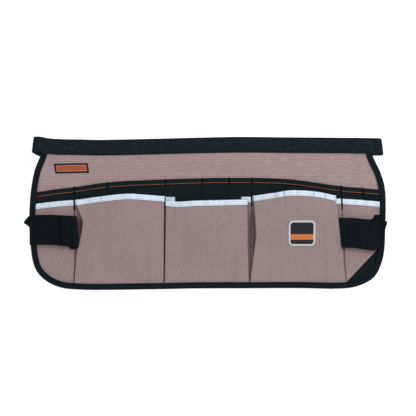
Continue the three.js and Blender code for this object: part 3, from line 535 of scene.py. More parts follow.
def shell(name, middle, half, uv, sharp=50):
    """A cloth wall: rows and columns of its middle surface, with the step from there to its upper face."""
    rows, columns = middle.shape[:2]
    points = np.stack([middle + half, middle - half])
    upper = np.arange(rows * columns).reshape(rows, columns)
    lower = upper + rows * columns
    quads = [
        (upper[:-1, :-1], upper[:-1, 1:], upper[1:, 1:], upper[1:, :-1]),
        (lower[:-1, :-1], lower[1:, :-1], lower[1:, 1:], lower[:-1, 1:]),
        (upper[:-1, 0], upper[1:, 0], lower[1:, 0], lower[:-1, 0]),
        (upper[:-1, -1], lower[:-1, -1], lower[1:, -1], upper[1:, -1]),
        (upper[0, :-1], lower[0, :-1], lower[0, 1:], upper[0, 1:]),
        (upper[-1, :-1], upper[-1, 1:], lower[-1, 1:], lower[-1, :-1]),
    ]
    faces = np.concatenate([joined(*corners).reshape(-1, 4) for corners in quads])
    return make_mesh(name, points, [faces], np.stack([uv, uv]), sharp)


def loft(name, sections, uv, ring=False, sharp=50):
    """A body through closed sections of equal length. A ring has no ends."""
    count, corners = sections.shape[:2]
    index = np.arange(count * corners).reshape(count, corners)
    ahead = np.roll(index, -1, axis=0) if ring else index[1:]
    behind = index if ring else index[:-1]
    quads = joined(behind, np.roll(behind, -1, axis=1), np.roll(ahead, -1, axis=1), ahead)
    faces = [quads.reshape(-1, 4)]
    if not ring:
        faces.append(np.stack([index[0][::-1], index[-1]]))
    return make_mesh(name, sections, faces, uv, sharp)


UP = np.array([0, 0, 1.0])


def flat_half(x, thickness=CANVAS):
    """The step from a cloth's middle straight up to its upper face, at each of its points."""
    return UP * np.broadcast_to(thickness, x.shape)[..., None] / 2


def mitres(x, z, ring=False):
    """The step from a path's middle line to its upper face, in the XZ plane, for each of its points."""
    path = joined(x, z)
    if ring:
        arriving = path - np.roll(path, 1, axis=0)
        leaving = np.roll(path, -1, axis=0) - path
    else:
        steps = np.diff(path, axis=0)
        arriving = np.vstack([steps[:1], steps])
        leaving = np.vstack([steps, steps[-1:]])
    leaving = unit(leaving)
    ahead = unit(unit(arriving) + leaving)
    stretch = 1 / np.sum(ahead * leaving, axis=1)
    return joined(-ahead[:, 1] * stretch, 0, ahead[:, 0] * stretch)


# Panel and rear layer

PANEL_STEP = 2.8  # between the panel's columns
LAYER_STEP = 2.4
HEM_ROUND = 0.7  # the share of the hem's thickness that its rounded edge takes off
HEM_ROUND_DEPTH = 1.2


def even_places(spacing):
    """Places along the apron, about evenly spaced, with one on every seam and slot end."""
    stops = sorted({0, 1, 2, 3, 4, 5, *SLOTS["end"]})
    places = [0.0]
    for start, end in zip(stops, stops[1:]):
        width = place_x(min(end, LAST_PLACE), 0) - place_x(start, 0)
        count = max(2, int(round(width / spacing)))
        places.extend(np.linspace(start, end, count + 1)[1:])
    return np.array(places)


def column_x(places, y):
    return np.stack([place_x(place, y[:, i]) for i, place in enumerate(places)], axis=1)


def level_rows(places, levels):
    """Heights of rows at each place. Each level is a line and how many rows run evenly up to it."""
    rows = [np.array([place_bottom(place) for place in places])]
    for line, count in levels:
        target = line(places)
        start = rows[-1]
        rows.extend(mix(start, target, share) for share in np.linspace(0, 1, count + 1)[1:])
    return np.stack(rows)


def backing_panel():
    places = even_places(PANEL_STEP)
    y = level_rows(places, [
        (side_mouth, 34),
        (lambda p: rear_mouth(p) - 6, 10),
        (lambda p: np.full(len(p), up(OUTLINE["up"][0])), 44),
    ])
    x = column_x(places, y)
    middle = joined(x, y, rest_lift(x, y) + CANVAS / 2)
    return shell("canvas_panel", middle, flat_half(x), joined(y, x))


def rear_z(x, y):
    """The middle of the rear layer's cloth."""
    return rest_lift(x, y) + CANVAS + GAP + rear_rise(x, y) + CANVAS / 2


def hem_and_pull(depth):
    """What the hem adds at a depth below the rear layer's mouth, and how far its stitches pull it in."""
    hem = HEM * fade(-depth, -HEM_DEPTH - HEM_END, -HEM_DEPTH + HEM_END)
    return hem, STITCH_PULL * hump(depth - TOPSTITCH_DEPTH, STITCH_PULL_REACH)


def rear_top(x, y):
    """The height of the rear layer's front face."""
    hem, pull = hem_and_pull(rear_mouth(place_at(x, y)) - y)
    return rear_z(x, y) + CANVAS / 2 + hem - pull


def rear_pocket_layer():
    places = even_places(LAYER_STEP)
    y = level_rows(places, [
        (side_mouth, 24),
        (lambda p: rear_mouth(p) - HEM_DEPTH - 2, 12),
        (rear_mouth, 14),
    ])
    x = column_x(places, y)
    depth = rear_mouth(places)[None, :] - y
    hem, pull = hem_and_pull(depth)
    to_edge = 1 - np.clip(depth / HEM_ROUND_DEPTH, 0, 1)
    round_off = HEM_ROUND * HEM * (1 - np.sqrt(1 - to_edge ** 2))
    middle = joined(x, y, rear_z(x, y) + hem / 2 - pull)
    return shell("rear_layer", middle, flat_half(x, CANVAS + hem - round_off), joined(x, y))


# Front strip, with its pleats

TURN_STEPS = 8
RUN_STEPS = 7
FRONT_STEPS = 92
SIDE_STEPS = 26
LEAST_STEP = 0.04  # between the last pocket's columns, where the cut leaves it narrow
TAPE_FOOT = 0.93  # the share of the strip's height where the tape ends
ARCH = 0.42  # the share of a pouch's front over which it rises from each fold
SLACK = 0.55
DENTS = 0.12
PROP_ENDS = (4, 16)  # beyond a pleat, where the cloth over it starts to sink and lies flat
APART = 1000  # a step that gives each pocket its own part of a pattern
CREASE_FOOT = 0.72  # the share of the strip's height where the creases start
# Painted shade on a side pocket beside its seam, and the share of its width over which it fades
SEAM_PAINTED_SHADE = 0.34
SEAM_PAINTED_SHADE_REACH = 0.05
STRIP_RISES = np.concatenate([np.linspace(0, BAND, 46)[:-1], np.linspace(BAND, 1, 12)])
strip_waves = Waves(28, 80)
strip_dents = Waves(10, 30)


def strip_z(x, y, rise, bottom, mouth):
    """The middle of the strip's cloth where it lies on the rear layer."""
    rear = rear_rise(x, mix(bottom, mouth, below_band(rise)))
    return rest_lift(x, y) + 2 * CANVAS + GAP + rear + DRAPE + tape_room(rise) + CANVAS / 2


def turn(x, radius, z, out):
    """Half a turn upwards, from a point under the turn's axis to one over it."""
    angle = np.linspace(0, math.pi, TURN_STEPS + 1)
    return x + out * radius * np.sin(angle), z - radius * np.cos(angle)


def propped(distance, pleat):
    """How far a pleat holds the cloth over it up, at a distance from its seam."""
    return 1 - fade(distance, pleat + PROP_ENDS[0], pleat + PROP_ENDS[1])


def pleat_pitch(rise):
    """From one layer of a pleat to the next."""
    return mix(BOTTOM_PITCH, MOUTH_PITCH, fade(below_band(rise), 0.1, 1))


def pouch_path(pouch, rise):
    """One pouch's columns at a share of its height, from seam to seam, through both pleats."""
    mouth_of = through(pouch["mouth"], "along", "up")
    pitch = pleat_pitch(rise)
    radius = pitch / 2
    left, right = pouch["left"], pouch["right"]
    bottom_here = bottom_y(place_x(pouch["place"] + 0.5, BOTTOM_LEVEL))
    seam_y = mix(bottom_here, up(mouth_of(0.5)), rise)
    start, end = seam_x(pouch["place"] - 1, seam_y), seam_x(pouch["place"], seam_y)

    def fold_in(side):
        return through(side["fold"], "rise", "in")(rise) * PLEAT_DEPTH + radius + CANVAS / 2

    def painted_shade_at(side):
        return max(0, float(through(side["fold"], "rise", "dark")(rise)))

    def pleat(side, seam, inward):
        """The hidden layers beside one seam: in under, back over, and the turn up to the front."""
        deep, fold = seam + inward * side["pleat"] * PLEAT_DEPTH, seam + inward * fold_in(side)
        edge_up = float(mouth_of(0 if inward > 0 else 1))
        under_x = np.linspace(seam, deep, RUN_STEPS)[:-1]
        first_x, first_z = turn(deep, radius, radius, inward)
        back_x = np.linspace(deep, fold, RUN_STEPS + 1)[1:-1]
        last_x, last_z = turn(fold, radius, 3 * radius, -inward)
        x = np.concatenate([under_x, first_x, back_x, last_x])
        z = np.concatenate([np.zeros(len(under_x)), first_z, np.full(len(back_x), 2 * radius), last_z])
        mouth = np.concatenate([
            np.full(len(under_x) + len(first_x), side["under"]),
            mix(side["under"], edge_up, np.linspace(0, 1, RUN_STEPS + 1)[1:-1]),
            np.full(len(last_x), edge_up),
        ])
        return x, z, mouth

    left_x, left_z, left_mouth = pleat(left, start, 1)
    right_x, right_z, right_mouth = (values[::-1] for values in pleat(right, end, -1))
    share = np.linspace(0, 1, FRONT_STEPS + 1)[1:-1]
    height_up = rise * APRON_HEIGHT * 0.6
    x = mix(left_x[-1], right_x[0], share)
    prop = np.maximum(propped(x - start, left["pleat"] * PLEAT_DEPTH),
                      propped(end - x, right["pleat"] * PLEAT_DEPTH))
    arch = fade(share, 0, ARCH) * fade(1 - share, 0, ARCH)
    level = below_band(rise)
    stand = 2 * pitch * mix(fade(level, 0, 1), 1, prop)
    height = POUCH_RISE * arch * level ** 1.3
    waves = SLACK * strip_waves(x, height_up + APART * pouch["place"]) + DENTS * strip_dents(x, height_up)
    slack = arch * level ** 1.5 * waves
    for crease in pouch["creases"]:
        slack = slack - CREASE_DEPTH * hump(share - crease, CREASE_WIDTH) * fade(rise, CREASE_FOOT, 1)
    all_x = np.concatenate([left_x, x, right_x])
    all_z = np.concatenate([left_z, stand + height + slack, right_z])
    mouth = np.concatenate([left_mouth, mouth_of(share), right_mouth])
    bottom = bottom_y(all_x)
    y = mix(bottom, up(mouth), rise)
    z = strip_z(all_x, y, rise, bottom, up(mouth)) + all_z
    # Painted shade on the tucked cloth of each pleat, fading out round the turn up to the front
    turning = np.linspace(1, 0, TURN_STEPS + 1) ** 0.7
    left_dark = painted_shade_at(left) * np.concatenate([np.ones(len(left_x) - len(turning)), turning])
    right_dark = painted_shade_at(right) * np.concatenate([turning[::-1], np.ones(len(right_x) - len(turning))])
    dark = np.concatenate([left_dark, np.zeros(len(x)), right_dark])
    return all_x, y, z, dark


def side_columns(side, rise):
    """A side pocket's columns at a share of its height, from left to right."""
    share = np.linspace(0, 1, SIDE_STEPS)
    if side == "left":
        mouth = side_mouth(share)
        bottom = np.array([place_bottom(place) for place in share])
        y = mix(bottom, mouth, rise)
        x = np.array([place_x(place, height) for place, height in zip(share, y)])
    else:
        mouth = side_mouth(4 + share)
        bottom = np.full(len(share), up(CUT["low"][1]))
        y = mix(bottom, mouth, rise)
        climb = (y - bottom) / (up(CUT["high"][1]) - bottom)
        cut_x = across(mix(CUT["low"][0], CUT["high"][0], climb))
        start = seam_x(3, y)
        end = np.maximum(start + 2 * CANVAS, np.minimum(side_x("right", y), cut_x))
        x = mix(start, end, share)
    stand = SIDE_RISE * np.sin(math.pi * share) ** 2 * below_band(rise) * clear_of_edge(x, y)
    # Painted shade beside the seam
    from_seam = 1 - share if side == "left" else share
    dark = SEAM_PAINTED_SHADE * (1 - fade(from_seam, 0, SEAM_PAINTED_SHADE_REACH))
    return x, y, strip_z(x, y, rise, bottom, mouth) + stand, dark


def strip_row(rise):
    """One row of the whole strip: its columns, and how many belong to each pocket."""
    parts = [side_columns("left", rise)]
    for pouch in POUCHES:
        parts.append(tuple(values[1:] for values in pouch_path(pouch, rise)))
    x, *others = (values[1:] for values in side_columns("right", rise))
    beyond_seam = parts[-1][0][-1] + LEAST_STEP * np.arange(1, len(x) + 1)
    parts.append((np.maximum(x, beyond_seam), *others))
    return tuple(np.concatenate(columns) for columns in zip(*parts)), [len(part[0]) for part in parts]


def strip_surface():
    """The strip's rows: middles, steps to the upper face, cloth coordinates and painted shade. Each pocket's
    ribs run straight up from the seam beside it, or from the middle of its front."""
    middles, halves, uvs, darks = [], [], [], []
    for rise in STRIP_RISES:
        (x, y, z, dark), counts = strip_row(rise)
        middles.append(joined(x, y, z))
        halves.append(mitres(x, z) * CANVAS / 2)
        along = lengths(joined(x, z))
        ends = np.cumsum(counts)
        u = np.empty(len(x))
        for k, (start, end) in enumerate(zip([0, *ends[:-1]], ends)):
            middle = (start + end) // 2
            plumb = [end - 1, middle, middle, middle, start][k]
            u[start:end] = along[start:end] - along[plumb] + APART * k
        uvs.append(joined(u, y))
        darks.append(dark)
    return np.stack(middles), np.stack(halves), np.stack(uvs), np.stack(darks)


*STRIP, STRIP_PAINTED_SHADE = strip_surface()


def front_strip():
    """The whole strip as one cloth."""
    piece = shell("front_strip", *STRIP)
    # Painted shade in the pleats and beside the seams
    paint_shade(piece, np.stack([STRIP_PAINTED_SHADE, STRIP_PAINTED_SHADE]))
    return piece


def mouth_edge():
    """The strip's upper edge, with its directions down the cloth and out of its front face."""
    middle, half, _ = STRIP
    foot = int(np.argmax(STRIP_RISES > TAPE_FOOT))
    down = middle[foot] - middle[-1]
    return middle[-1], unit(down), half[-1] / (CANVAS / 2)


# Painted shade on the tape: across it at the strip's creases, and in the strip's pleats
TAPE_CREASE_SHADE = 0.75
TAPE_CREASE_SHADE_REACH = 1.5
TAPE_SHADE_IN_PLEAT = 0.6  # the tape's share of the darkness of the strip's pleats


def crease_shade_on_tape(x):
    """How dark the painted shade across the tape is at its creases, at places along it."""
    marks = np.zeros(np.shape(x))
    for pouch in POUCHES:
        start, end = (seam_x(pouch["place"] - 1 + k, MOUTH_LEVEL) for k in range(2))
        for crease in pouch["creases"]:
            marks = marks + TAPE_CREASE_SHADE * hump(x - mix(start, end, crease), TAPE_CREASE_SHADE_REACH)
    return marks


def mouth_tape():
    """The silver tape, folded over the whole strip's upper edge."""
    _, _, uv = STRIP
    mouth, down, normal = mouth_edge()
    bend_depth = 0.4
    flange = np.linspace(TAPE_FLANGE, bend_depth, 8)
    bend = np.linspace(-math.pi / 2, math.pi / 2, 7)[1:-1]

    def side(cover):
        """Depth and offset round one face of the tape, from the back flange over the top to the front one."""
        reach = CANVAS / 2 + cover
        depth = np.concatenate([flange, bend_depth - reach * np.cos(bend), flange[::-1]])
        offset = np.concatenate([0 * flange - reach, reach * np.sin(bend), 0 * flange + reach])
        return depth, offset

    outer_depth, outer_offset = side(TAPE_SPACE + MOUTH_TAPE)
    inner_depth, inner_offset = side(TAPE_SPACE)
    depth = np.concatenate([outer_depth, inner_depth[::-1]])
    offset = np.concatenate([outer_offset, inner_offset[::-1]])
    keep = slice(3, len(mouth) - 3)
    sections = (mouth[keep, None] + down[keep, None] * depth[None, :, None]
                + normal[keep, None] * offset[None, :, None])
    flat = joined(uv[-1, keep, 0][:, None], np.sign(offset) * depth)
    piece = loft("silver_mouth_tape", sections, flat, sharp=60)
    # Painted shade where the tape runs into the pleats and across its creases
    dark = TAPE_SHADE_IN_PLEAT * STRIP_PAINTED_SHADE[-1, keep] + crease_shade_on_tape(mouth[keep, 0])
    paint_shade(piece, np.repeat(dark, len(depth)))
    return piece


# Edge binding

EASE = 0.06 * APRON_HEIGHT  # over which the binding climbs onto a layer
PLEATS_END = (0.13, 0.3)  # the shares of a pocket's height between which the binding leaves the pleats
BEFORE_PLEAT = (1.6, 0.4)  # in eases, where the binding starts to climb onto a pleat and reaches its height
PLEAT_PROPS = (6, 24)  # beyond a pleat, where the binding over it starts to sink and lies flat


def layers_top(x, y):
    """The top of the layers that the binding covers."""
    place = place_at(x, y)
    rear_edge = rear_mouth(place) + BINDING_WIDTH
    front_edge = side_mouth(place) + BINDING_WIDTH
    rear = 1 - fade(y, rear_edge, rear_edge + EASE)
    strip = 1 - fade(y, front_edge, front_edge + EASE)
    cut_high = up(CUT["high"][1]) - EASE
    past_cut = np.where(x > seam_x(3, y), 1 - fade(y, cut_high - EASE, cut_high), 0)
    near_seam = 1 - fade(x - seam_x(3, y), 0, 2 * EASE)
    front = strip * np.maximum(1 - past_cut, near_seam)
    rise = np.clip((y - BOTTOM_LEVEL) / (MOUTH_LEVEL - BOTTOM_LEVEL), 0, 1)
    low = 1 - fade(rise, *PLEATS_END)
    start, end = PLEAT_PROPS
    prop = np.zeros(np.shape(x))
    for pouch in POUCHES:
        away_left = x - seam_x(pouch["place"] - 1, y)
        away_right = seam_x(pouch["place"], y) - x
        for away, side in [(away_left, pouch["left"]), (away_right, pouch["right"])]:
            reach = side["pleat"] * PLEAT_DEPTH
            beyond = fade(away, -BEFORE_PLEAT[0] * EASE, -BEFORE_PLEAT[1] * EASE)
            prop = np.maximum(prop, beyond * (1 - fade(away, reach + start, reach + end)))
    layers = CANVAS + rear * (GAP + CANVAS + (1 - front) * HEM) + front * (DRAPE + CANVAS + tape_room(rise))
    return rest_lift(x, y) + layers + low * prop * 2 * BOTTOM_PITCH


def binding_levels():
    inside = OUTER + INWARD * BINDING_WIDTH / 2
    bottom = rest_lift(OUTER[:, 0], OUTER[:, 1]) - EDGE_LIFT
    top = layers_top(inside[:, 0], inside[:, 1]) + DRAPE + BINDING
    return bottom, top


PUCKERS = [(0.12, 5.6, 0), (0.08, 17, 1)]  # height, pitch and phase
BINDING_CROWN = 0.15
BINDING_CROWN_REACH = 5.5
BINDING_ROUND = 1.1  # how far in from its fold the binding bends
BINDING_STEPS = 7  # along each face of each flange


def edge_binding():
    """The binding's section at each point of the edge, from its lower flange round to the upper one and
    back."""
    bottom, top = binding_levels()
    along = lengths(OUTER)
    pucker = sum(height * np.sin(along * math.tau / pitch + phase) for height, pitch, phase in PUCKERS)
    rows = [(depth, bottom, -depth) for depth in np.linspace(BINDING_WIDTH, BINDING_ROUND, BINDING_STEPS)]
    for angle in np.linspace(-math.pi / 2, math.pi / 2, 9)[1:-1]:
        sine = np.sin(angle)
        rows.append((BINDING_ROUND * (1 - np.cos(angle)), mix(bottom, top, (1 + sine) / 2), sine))
    for depth in np.linspace(BINDING_ROUND, BINDING_COVER, BINDING_STEPS):
        inside = depth - BINDING_ROUND
        swell = pucker * np.sin(math.pi * inside / (BINDING_COVER - BINDING_ROUND)) ** 2
        crown = BINDING_CROWN * math.sin(math.pi * min(1, inside / BINDING_CROWN_REACH))
        rows.append((depth, top + crown + swell, depth))
    inner_fold = BINDING_ROUND + BINDING
    inner = np.linspace(BINDING_COVER, inner_fold, BINDING_STEPS)
    rows += [(depth, top - BINDING, depth) for depth in inner]
    rows.append((BINDING, (top + bottom) / 2, 0))
    inner = np.linspace(inner_fold, BINDING_WIDTH, BINDING_STEPS)
    rows += [(depth, bottom + BINDING, -depth) for depth in inner]
    sections = [np.column_stack([OUTER + INWARD * depth, level]) for depth, level, _ in rows]
    sections = np.stack(sections, axis=1)
    return loft("binding_tape", sections, joined(along[:, None], [flat for _, _, flat in rows]), sharp=70)


# Webbing

WEB_COLUMNS = 12
LEAN_ENDS = (0.84, 0.95)  # across, where the belt starts to lean, and the loops stop
WEB_ROUND = 0.9  # how far in from its edges the webbing reaches its full thickness


def webbing(name, x, z, low, high, lean, dark, ring=False):
    """A webbing along a path in the XZ plane, between two edges in Y. A lean slants its cross lines."""
    steps = mitres(x, z, ring)
    share = np.linspace(0, 1, WEB_COLUMNS)
    edge = np.minimum(share, 1 - share) * (high - low)[:, None]
    full = WEBBING / 2 * np.sqrt(np.clip(1 - (1 - np.clip(edge / WEB_ROUND, 0, 1)) ** 2, 0.05, 1))
    width = (high - low)[:, None]
    shift = np.reshape(lean, (-1, 1)) * width * (0.5 - share)[None, :]
    y = low[:, None] + share * width
    middle = joined(x[:, None] + shift, y, z[:, None])
    step = steps[:, None] * full[..., None]
    sections = np.concatenate([middle + step, (middle - step)[:, ::-1]], axis=1)
    along = lengths(joined(x, z))
    v = np.concatenate([share, share[::-1]]) * np.median(high - low)
    piece = loft(name, sections, joined(along[:, None], v), ring, sharp=75)
    # Painted shade along the webbing, where it is creased
    paint_shade(piece, np.repeat(dark, 2 * WEB_COLUMNS))
    return piece


def belt_front_z(x):
    """The middle of the belt's front run, on the panel's top edge and on the binding at both ends."""
    y = up(OUTLINE["up"][0]) - BELT_WIDTH / 4
    corner = min(side_x("right", y), -side_x("left", y))
    over_binding = fade(np.abs(x), corner - 4 * BINDING_WIDTH, corner - 2 * BINDING_WIDTH)
    panel_top = rest_lift(x, np.full(np.shape(x), y)) - EDGE_LIFT * over_binding + CANVAS
    return panel_top + over_binding * (EDGE_LIFT + BINDING + DRAPE) + DRAPE + WEBBING / 2


def belt_back_z(x):
    inside = 1 - fade(np.abs(x), *IN_BUCKLE)
    return WEBBING / 2 + inside * (BUCKLE_WALL + GAP)


def belt_path():
    level_start, level_end = (across(share) for share in BELT_LEVEL)
    end_z = float(belt_front_z(np.array([level_end]))[0])
    radius = (end_z - WEBBING / 2) / 2
    fold = across(BELT_END) - radius - WEBBING / 2
    run = np.linspace(-fold, fold, 260)[1:-1]
    front_z = belt_front_z(run)
    front_z = mix(front_z, end_z, fade(np.abs(run), level_start, level_end))
    for crease in BELT_CREASES:
        front_z = front_z - BELT_CREASE_DEPTH * hump(run - across(crease), BELT_CREASE_REACH)
    angle = np.linspace(math.pi, 0, 13)
    right_x, right_z = fold + radius * np.sin(angle), WEBBING / 2 + radius - radius * np.cos(angle)
    x = np.concatenate([run, right_x, run[::-1], -right_x])
    z = np.concatenate([front_z, right_z, belt_back_z(run[::-1]), right_z[::-1]])
    turned = np.linspace(0, 1, len(angle))
    share = x / across(1)
    to_back = np.concatenate([np.zeros(len(run)), turned, np.ones(len(run)), 1 - turned])
    middle = BELT_MIDDLE + mix(bow_front(share), bow_back(share), to_back) * BELT_WIDTH
    return x, z, middle


def waist_belt():
    x, z, middle = belt_path()
    lean = BELT_LEAN * np.sign(x) * fade(np.abs(x), across(LEAN_ENDS[0]), across(BELT_END))
    # Painted shade along each crease
    dark = sum(BELT_CREASE_PAINTED_SHADE * hump(x - across(crease), BELT_CREASE_REACH) for crease in BELT_CREASES)
    half = BELT_WIDTH / 2
    return webbing("belt_webbing", x, z, middle - half, middle + half, lean, dark, ring=True)


RIDGES = (0.2, 0.42)  # shares of the buckle's length from its middle
RIDGE_DEPTH = 0.35
RIDGE_PITCH = 3
TAPER_START = 0.44  # a share of the buckle's length from its middle
TAPER_DEPTH = 0.9


def belt_buckle():
    """A plain clasp round the belt's back run: a moulded sleeve with finger ridges and rounded corners."""
    slot = np.array([BELT_WIDTH + 4 * GAP, WEBBING + 2 * GAP]) / 2
    outer = slot + BUCKLE_WALL

    def outline(half, radius):
        return rounded(half, min(radius, half[1] * 0.95), 5)

    stations = []
    for at in np.linspace(-0.5, 0.5, 47):
        ridged = RIDGES[0] < abs(at) < RIDGES[1]
        ridge = RIDGE_DEPTH * max(0.0, math.cos(at * BUCKLE_LENGTH * math.tau / RIDGE_PITCH)) if ridged else 0
        taper = TAPER_DEPTH * max(0.0, (abs(at) - TAPER_START) / (0.5 - TAPER_START))
        stations.append((at * BUCKLE_LENGTH, outline(outer - np.array([0.6 * ridge + taper, taper]), 1.1)))
    middle_y = BELT_MIDDLE + float(bow_back(0)) * BELT_WIDTH

    def placed(at, section):
        return joined(at, middle_y + section[:, 0], BUCKLE_HEIGHT / 2 + section[:, 1])

    outside = [placed(at, section) for at, section in stations]
    inside = [placed(at, outline(slot, 0.2)) for at in (stations[-1][0], stations[0][0])]
    sections = np.stack([*outside, *inside])
    return loft("buckle_sleeve", sections, sections[..., :2], ring=True, sharp=35)


LOOP_STEP = 0.9
LOOP_SOFTNESS = [1, 2.2, 1.2, 1.2]  # in steps, for the place across, the height and the two edges


def loop_path(loop):
    """A hammer loop's line of rows: place across, height and the two edges, then the level of its middle."""
    y = up(loop["middle"])
    outward = -1 if loop["side"] == "left" else 1
    high_y = y + LOOP_WIDTH / 2
    edge_x = float(side_x(loop["side"], high_y))
    binding_top = float(layers_top(np.array([edge_x - outward * BINDING_WIDTH / 2]), np.array([high_y]))[0])
    under_z = binding_top + DRAPE + BINDING + GAP + WEBBING / 2
    over_z = under_z + WEBBING + LOOP_HOLLOW
    radius = (over_z - under_z) / 2
    low_z = under_z + WEBBING + GAP
    under = [(across(a), under_z, low, high) for a, low, high, _ in loop["under"]]
    over = [(across(a), mix(low_z, over_z, lift), low, high) for a, low, high, lift in loop["over"]]
    centre = across(loop["turn"]) + outward * (radius + WEBBING / 2)
    bend = [
        (centre - outward * radius * math.sin(turned), under_z + radius - radius * math.cos(turned),
         *loop["turn_edges"])
        for turned in np.linspace(0, math.pi, 9)
    ]
    line = resample(np.array([*under, *bend, *over]), LOOP_STEP)
    for column, reach in enumerate(LOOP_SOFTNESS):
        line[:, column] = blurred(line[:, column], reach)
    return line, y


def hammer_loop(name):
    loop = LOOPS[name]
    line, y = loop_path(loop)
    low, high = y + line[:, 2] * LOOP_WIDTH, y + line[:, 3] * LOOP_WIDTH
    lean = loop["lean"] * (1 - fade(np.abs(line[:, 0]), *(across(share) for share in LEAN_ENDS)))
    # Painted shade in the loop's stripes
    dark = sum(strength * hump(line[:, 0] - across(place), reach) for place, reach, strength in loop["shade_bands"])
    return webbing(name, line[:, 0], line[:, 1], low, high, lean, dark)


# Label and patch

LABEL_LIFT = 0.25  # clears the panel's unevenness


def label_z(x, y):
    return rest_lift(x, y) + CANVAS + LABEL_LIFT


def label_point(along, high):
    """The place in X and Y of a point of the label, which lies a little askew."""
    along = along - LABEL_PLACE["lean"] * high
    turned = LABEL_PLACE["turn"]
    x = across(LABEL_PLACE["across"]) + along * math.cos(turned) - high * math.sin(turned)
    y = up(LABEL_PLACE["up"]) + along * math.sin(turned) + high * math.cos(turned)
    return x, y


def woven_label():
    w, h = np.meshgrid(np.linspace(-0.5, 0.5, 60) * LABEL_LENGTH, np.linspace(-0.5, 0.5, 20) * LABEL_WIDTH)
    x, y = label_point(w, h)
    edge = np.minimum(LABEL_LENGTH / 2 - np.abs(w), LABEL_WIDTH / 2 - np.abs(h))
    pull = 0.3 * hump(edge - 1.1, 0.6)
    thickness = BADGE * np.sqrt(np.clip(1 - (1 - np.clip(edge / 0.8, 0, 1)) ** 2, 0.08, 1))
    middle = joined(x, y, label_z(x, y) + BADGE / 2 - pull)
    return shell("woven_label_field", middle, flat_half(x, thickness), joined(w, h), sharp=80)


def strip_top(x, y):
    """The height of the front strip's upper face at points on the right pouch's front."""
    pouch = POUCHES[2]
    mouth = up(float(through(pouch["mouth"], "along", "up")(0.5)))
    bottom = float(place_bottom(pouch["place"] + 0.5))
    pleat_points = 2 * TURN_STEPS + 2 * RUN_STEPS
    front = slice(pleat_points, -pleat_points)
    out = np.empty(np.shape(x))
    for index in np.ndindex(np.shape(x)):
        rise = (y[index] - bottom) / (mouth - bottom)
        path_x, _, path_z, _ = pouch_path(pouch, rise)
        out[index] = np.interp(x[index], path_x[front], path_z[front])
    return out + CANVAS / 2


PATCH_POINTS = 72
RIM_BULGE = 0.55
RIM_STITCH = {"pitch": 0.62, "lift": 0.42, "radius": 0.36}


def patch_outline(inset):
    """Points round the patch, moved in from its edge."""
    half = np.array([PATCH_WIDTH, PATCH_HEIGHT]) / 2 - inset
    line = closed(rounded(half, max(PATCH_ROUND - inset, 0.4), 9))
    return resample(line, lengths(line)[-1] / PATCH_POINTS)[:-1]


def patch_point(flat, lift):
    x = across(PATCH_PLACE["across"]) + flat[..., 0]
    y = up(PATCH_PLACE["up"]) + flat[..., 1]
    return joined(x, y, strip_top(x, y) + lift)


def front_patch():
    """A plain patch: a raised embroidered rim round a woven field."""
    heart = min(PATCH_WIDTH, PATCH_HEIGHT) / 2 - 1
    steps = []
    for inset in [*np.linspace(heart, PATCH_RIM + 0.3, 8), *np.linspace(PATCH_RIM, 0, 9)]:
        bulge = RIM_BULGE * math.sin(math.pi * inset / PATCH_RIM) ** 0.6 if 0 < inset < PATCH_RIM else 0
        steps.append((patch_outline(inset), BADGE * (0.9 if inset > 0 else 0.45) + bulge))
    steps += [(patch_outline(inset), 0.12) for inset in (0.15, heart)]
    sections = np.stack([patch_point(flat, lift) for flat, lift in steps])
    return loft("front_patch_field", sections, np.stack([flat for flat, _ in steps]), sharp=80)


def patch_rim():
    """The rim's satin stitches, side by side across it."""
    line = resample(closed(patch_outline(PATCH_RIM / 2)), RIM_STITCH["pitch"])[:-1]
    ahead = unit(np.roll(line, -1, axis=0) - np.roll(line, 1, axis=0))
    inward = joined(-ahead[:, 1], ahead[:, 0], 0)
    centres = patch_point(line, BADGE * 0.9 + RIM_STITCH["lift"])
    normals = np.broadcast_to(UP, centres.shape)
    length = PATCH_RIM + 0.2
    return threads("front_patch_rim", centres, inward, normals, length, RIM_STITCH["radius"], bury=1.6)


# Materials

# The share of its colour that cloth keeps under the deepest painted shade
DEEPEST_PAINTED_SHADE = 0.25  # how much of its colour the darkest cloth keeps
RIB_PITCH = 3.5
YARN_PITCH = 0.9
CHECK_PITCH = 0.75
BINDING_RIB_PITCH = 0.95
LINE_PITCH = 3.2
PICK_PITCH = 0.5
TWILL_PITCH = 1.1
FLOOR_GLOW = 0.66

POCKET_COLOUR = (0.262, 0.194, 0.193)
PANEL_COLOUR = (0.310, 0.224, 0.223)
BLACK_CLOTH = (0.0062, 0.0108, 0.0132)
BELT_COLOUR = (0.0088, 0.0136, 0.0180)
LOOP_COLOUR = (0.0040, 0.0060, 0.0088)
BINDING_COLOUR = (0.0068, 0.0106, 0.0146)
ORANGE = (0.40, 0.125, 0.045)
BLACK_THREAD = (0.004, 0.005, 0.007)
SILVER_THREAD = (0.50, 0.56, 0.64)
RIM_THREAD = (0.54, 0.54, 0.56)

# Pairs of colours that a surface goes between
SILVER = (0.77, 0.84, 0.92), (0.20, 0.28, 0.41)
LABEL_RUST = (0.22, 0.048, 0.018), (0.38, 0.095, 0.036)
LABEL_BRIGHT = (0.46, 0.13, 0.045), (0.66, 0.22, 0.085)
LABEL_BLACK = (0.004, 0.005, 0.007), (0.011, 0.013, 0.016)
PATCH_DARK = (0.009, 0.010, 0.014), (0.026, 0.027, 0.034)
PATCH_RUST = (0.44, 0.12, 0.035), (0.66, 0.22, 0.07)
PATCH_PALE = (0.30, 0.30, 0.32), (0.44, 0.44, 0.46)
PLASTIC = (0.006, 0.007, 0.008), (0.012, 0.013, 0.015)
FLOOR = (0.60, 0.60, 0.60), (0.62, 0.62, 0.62)


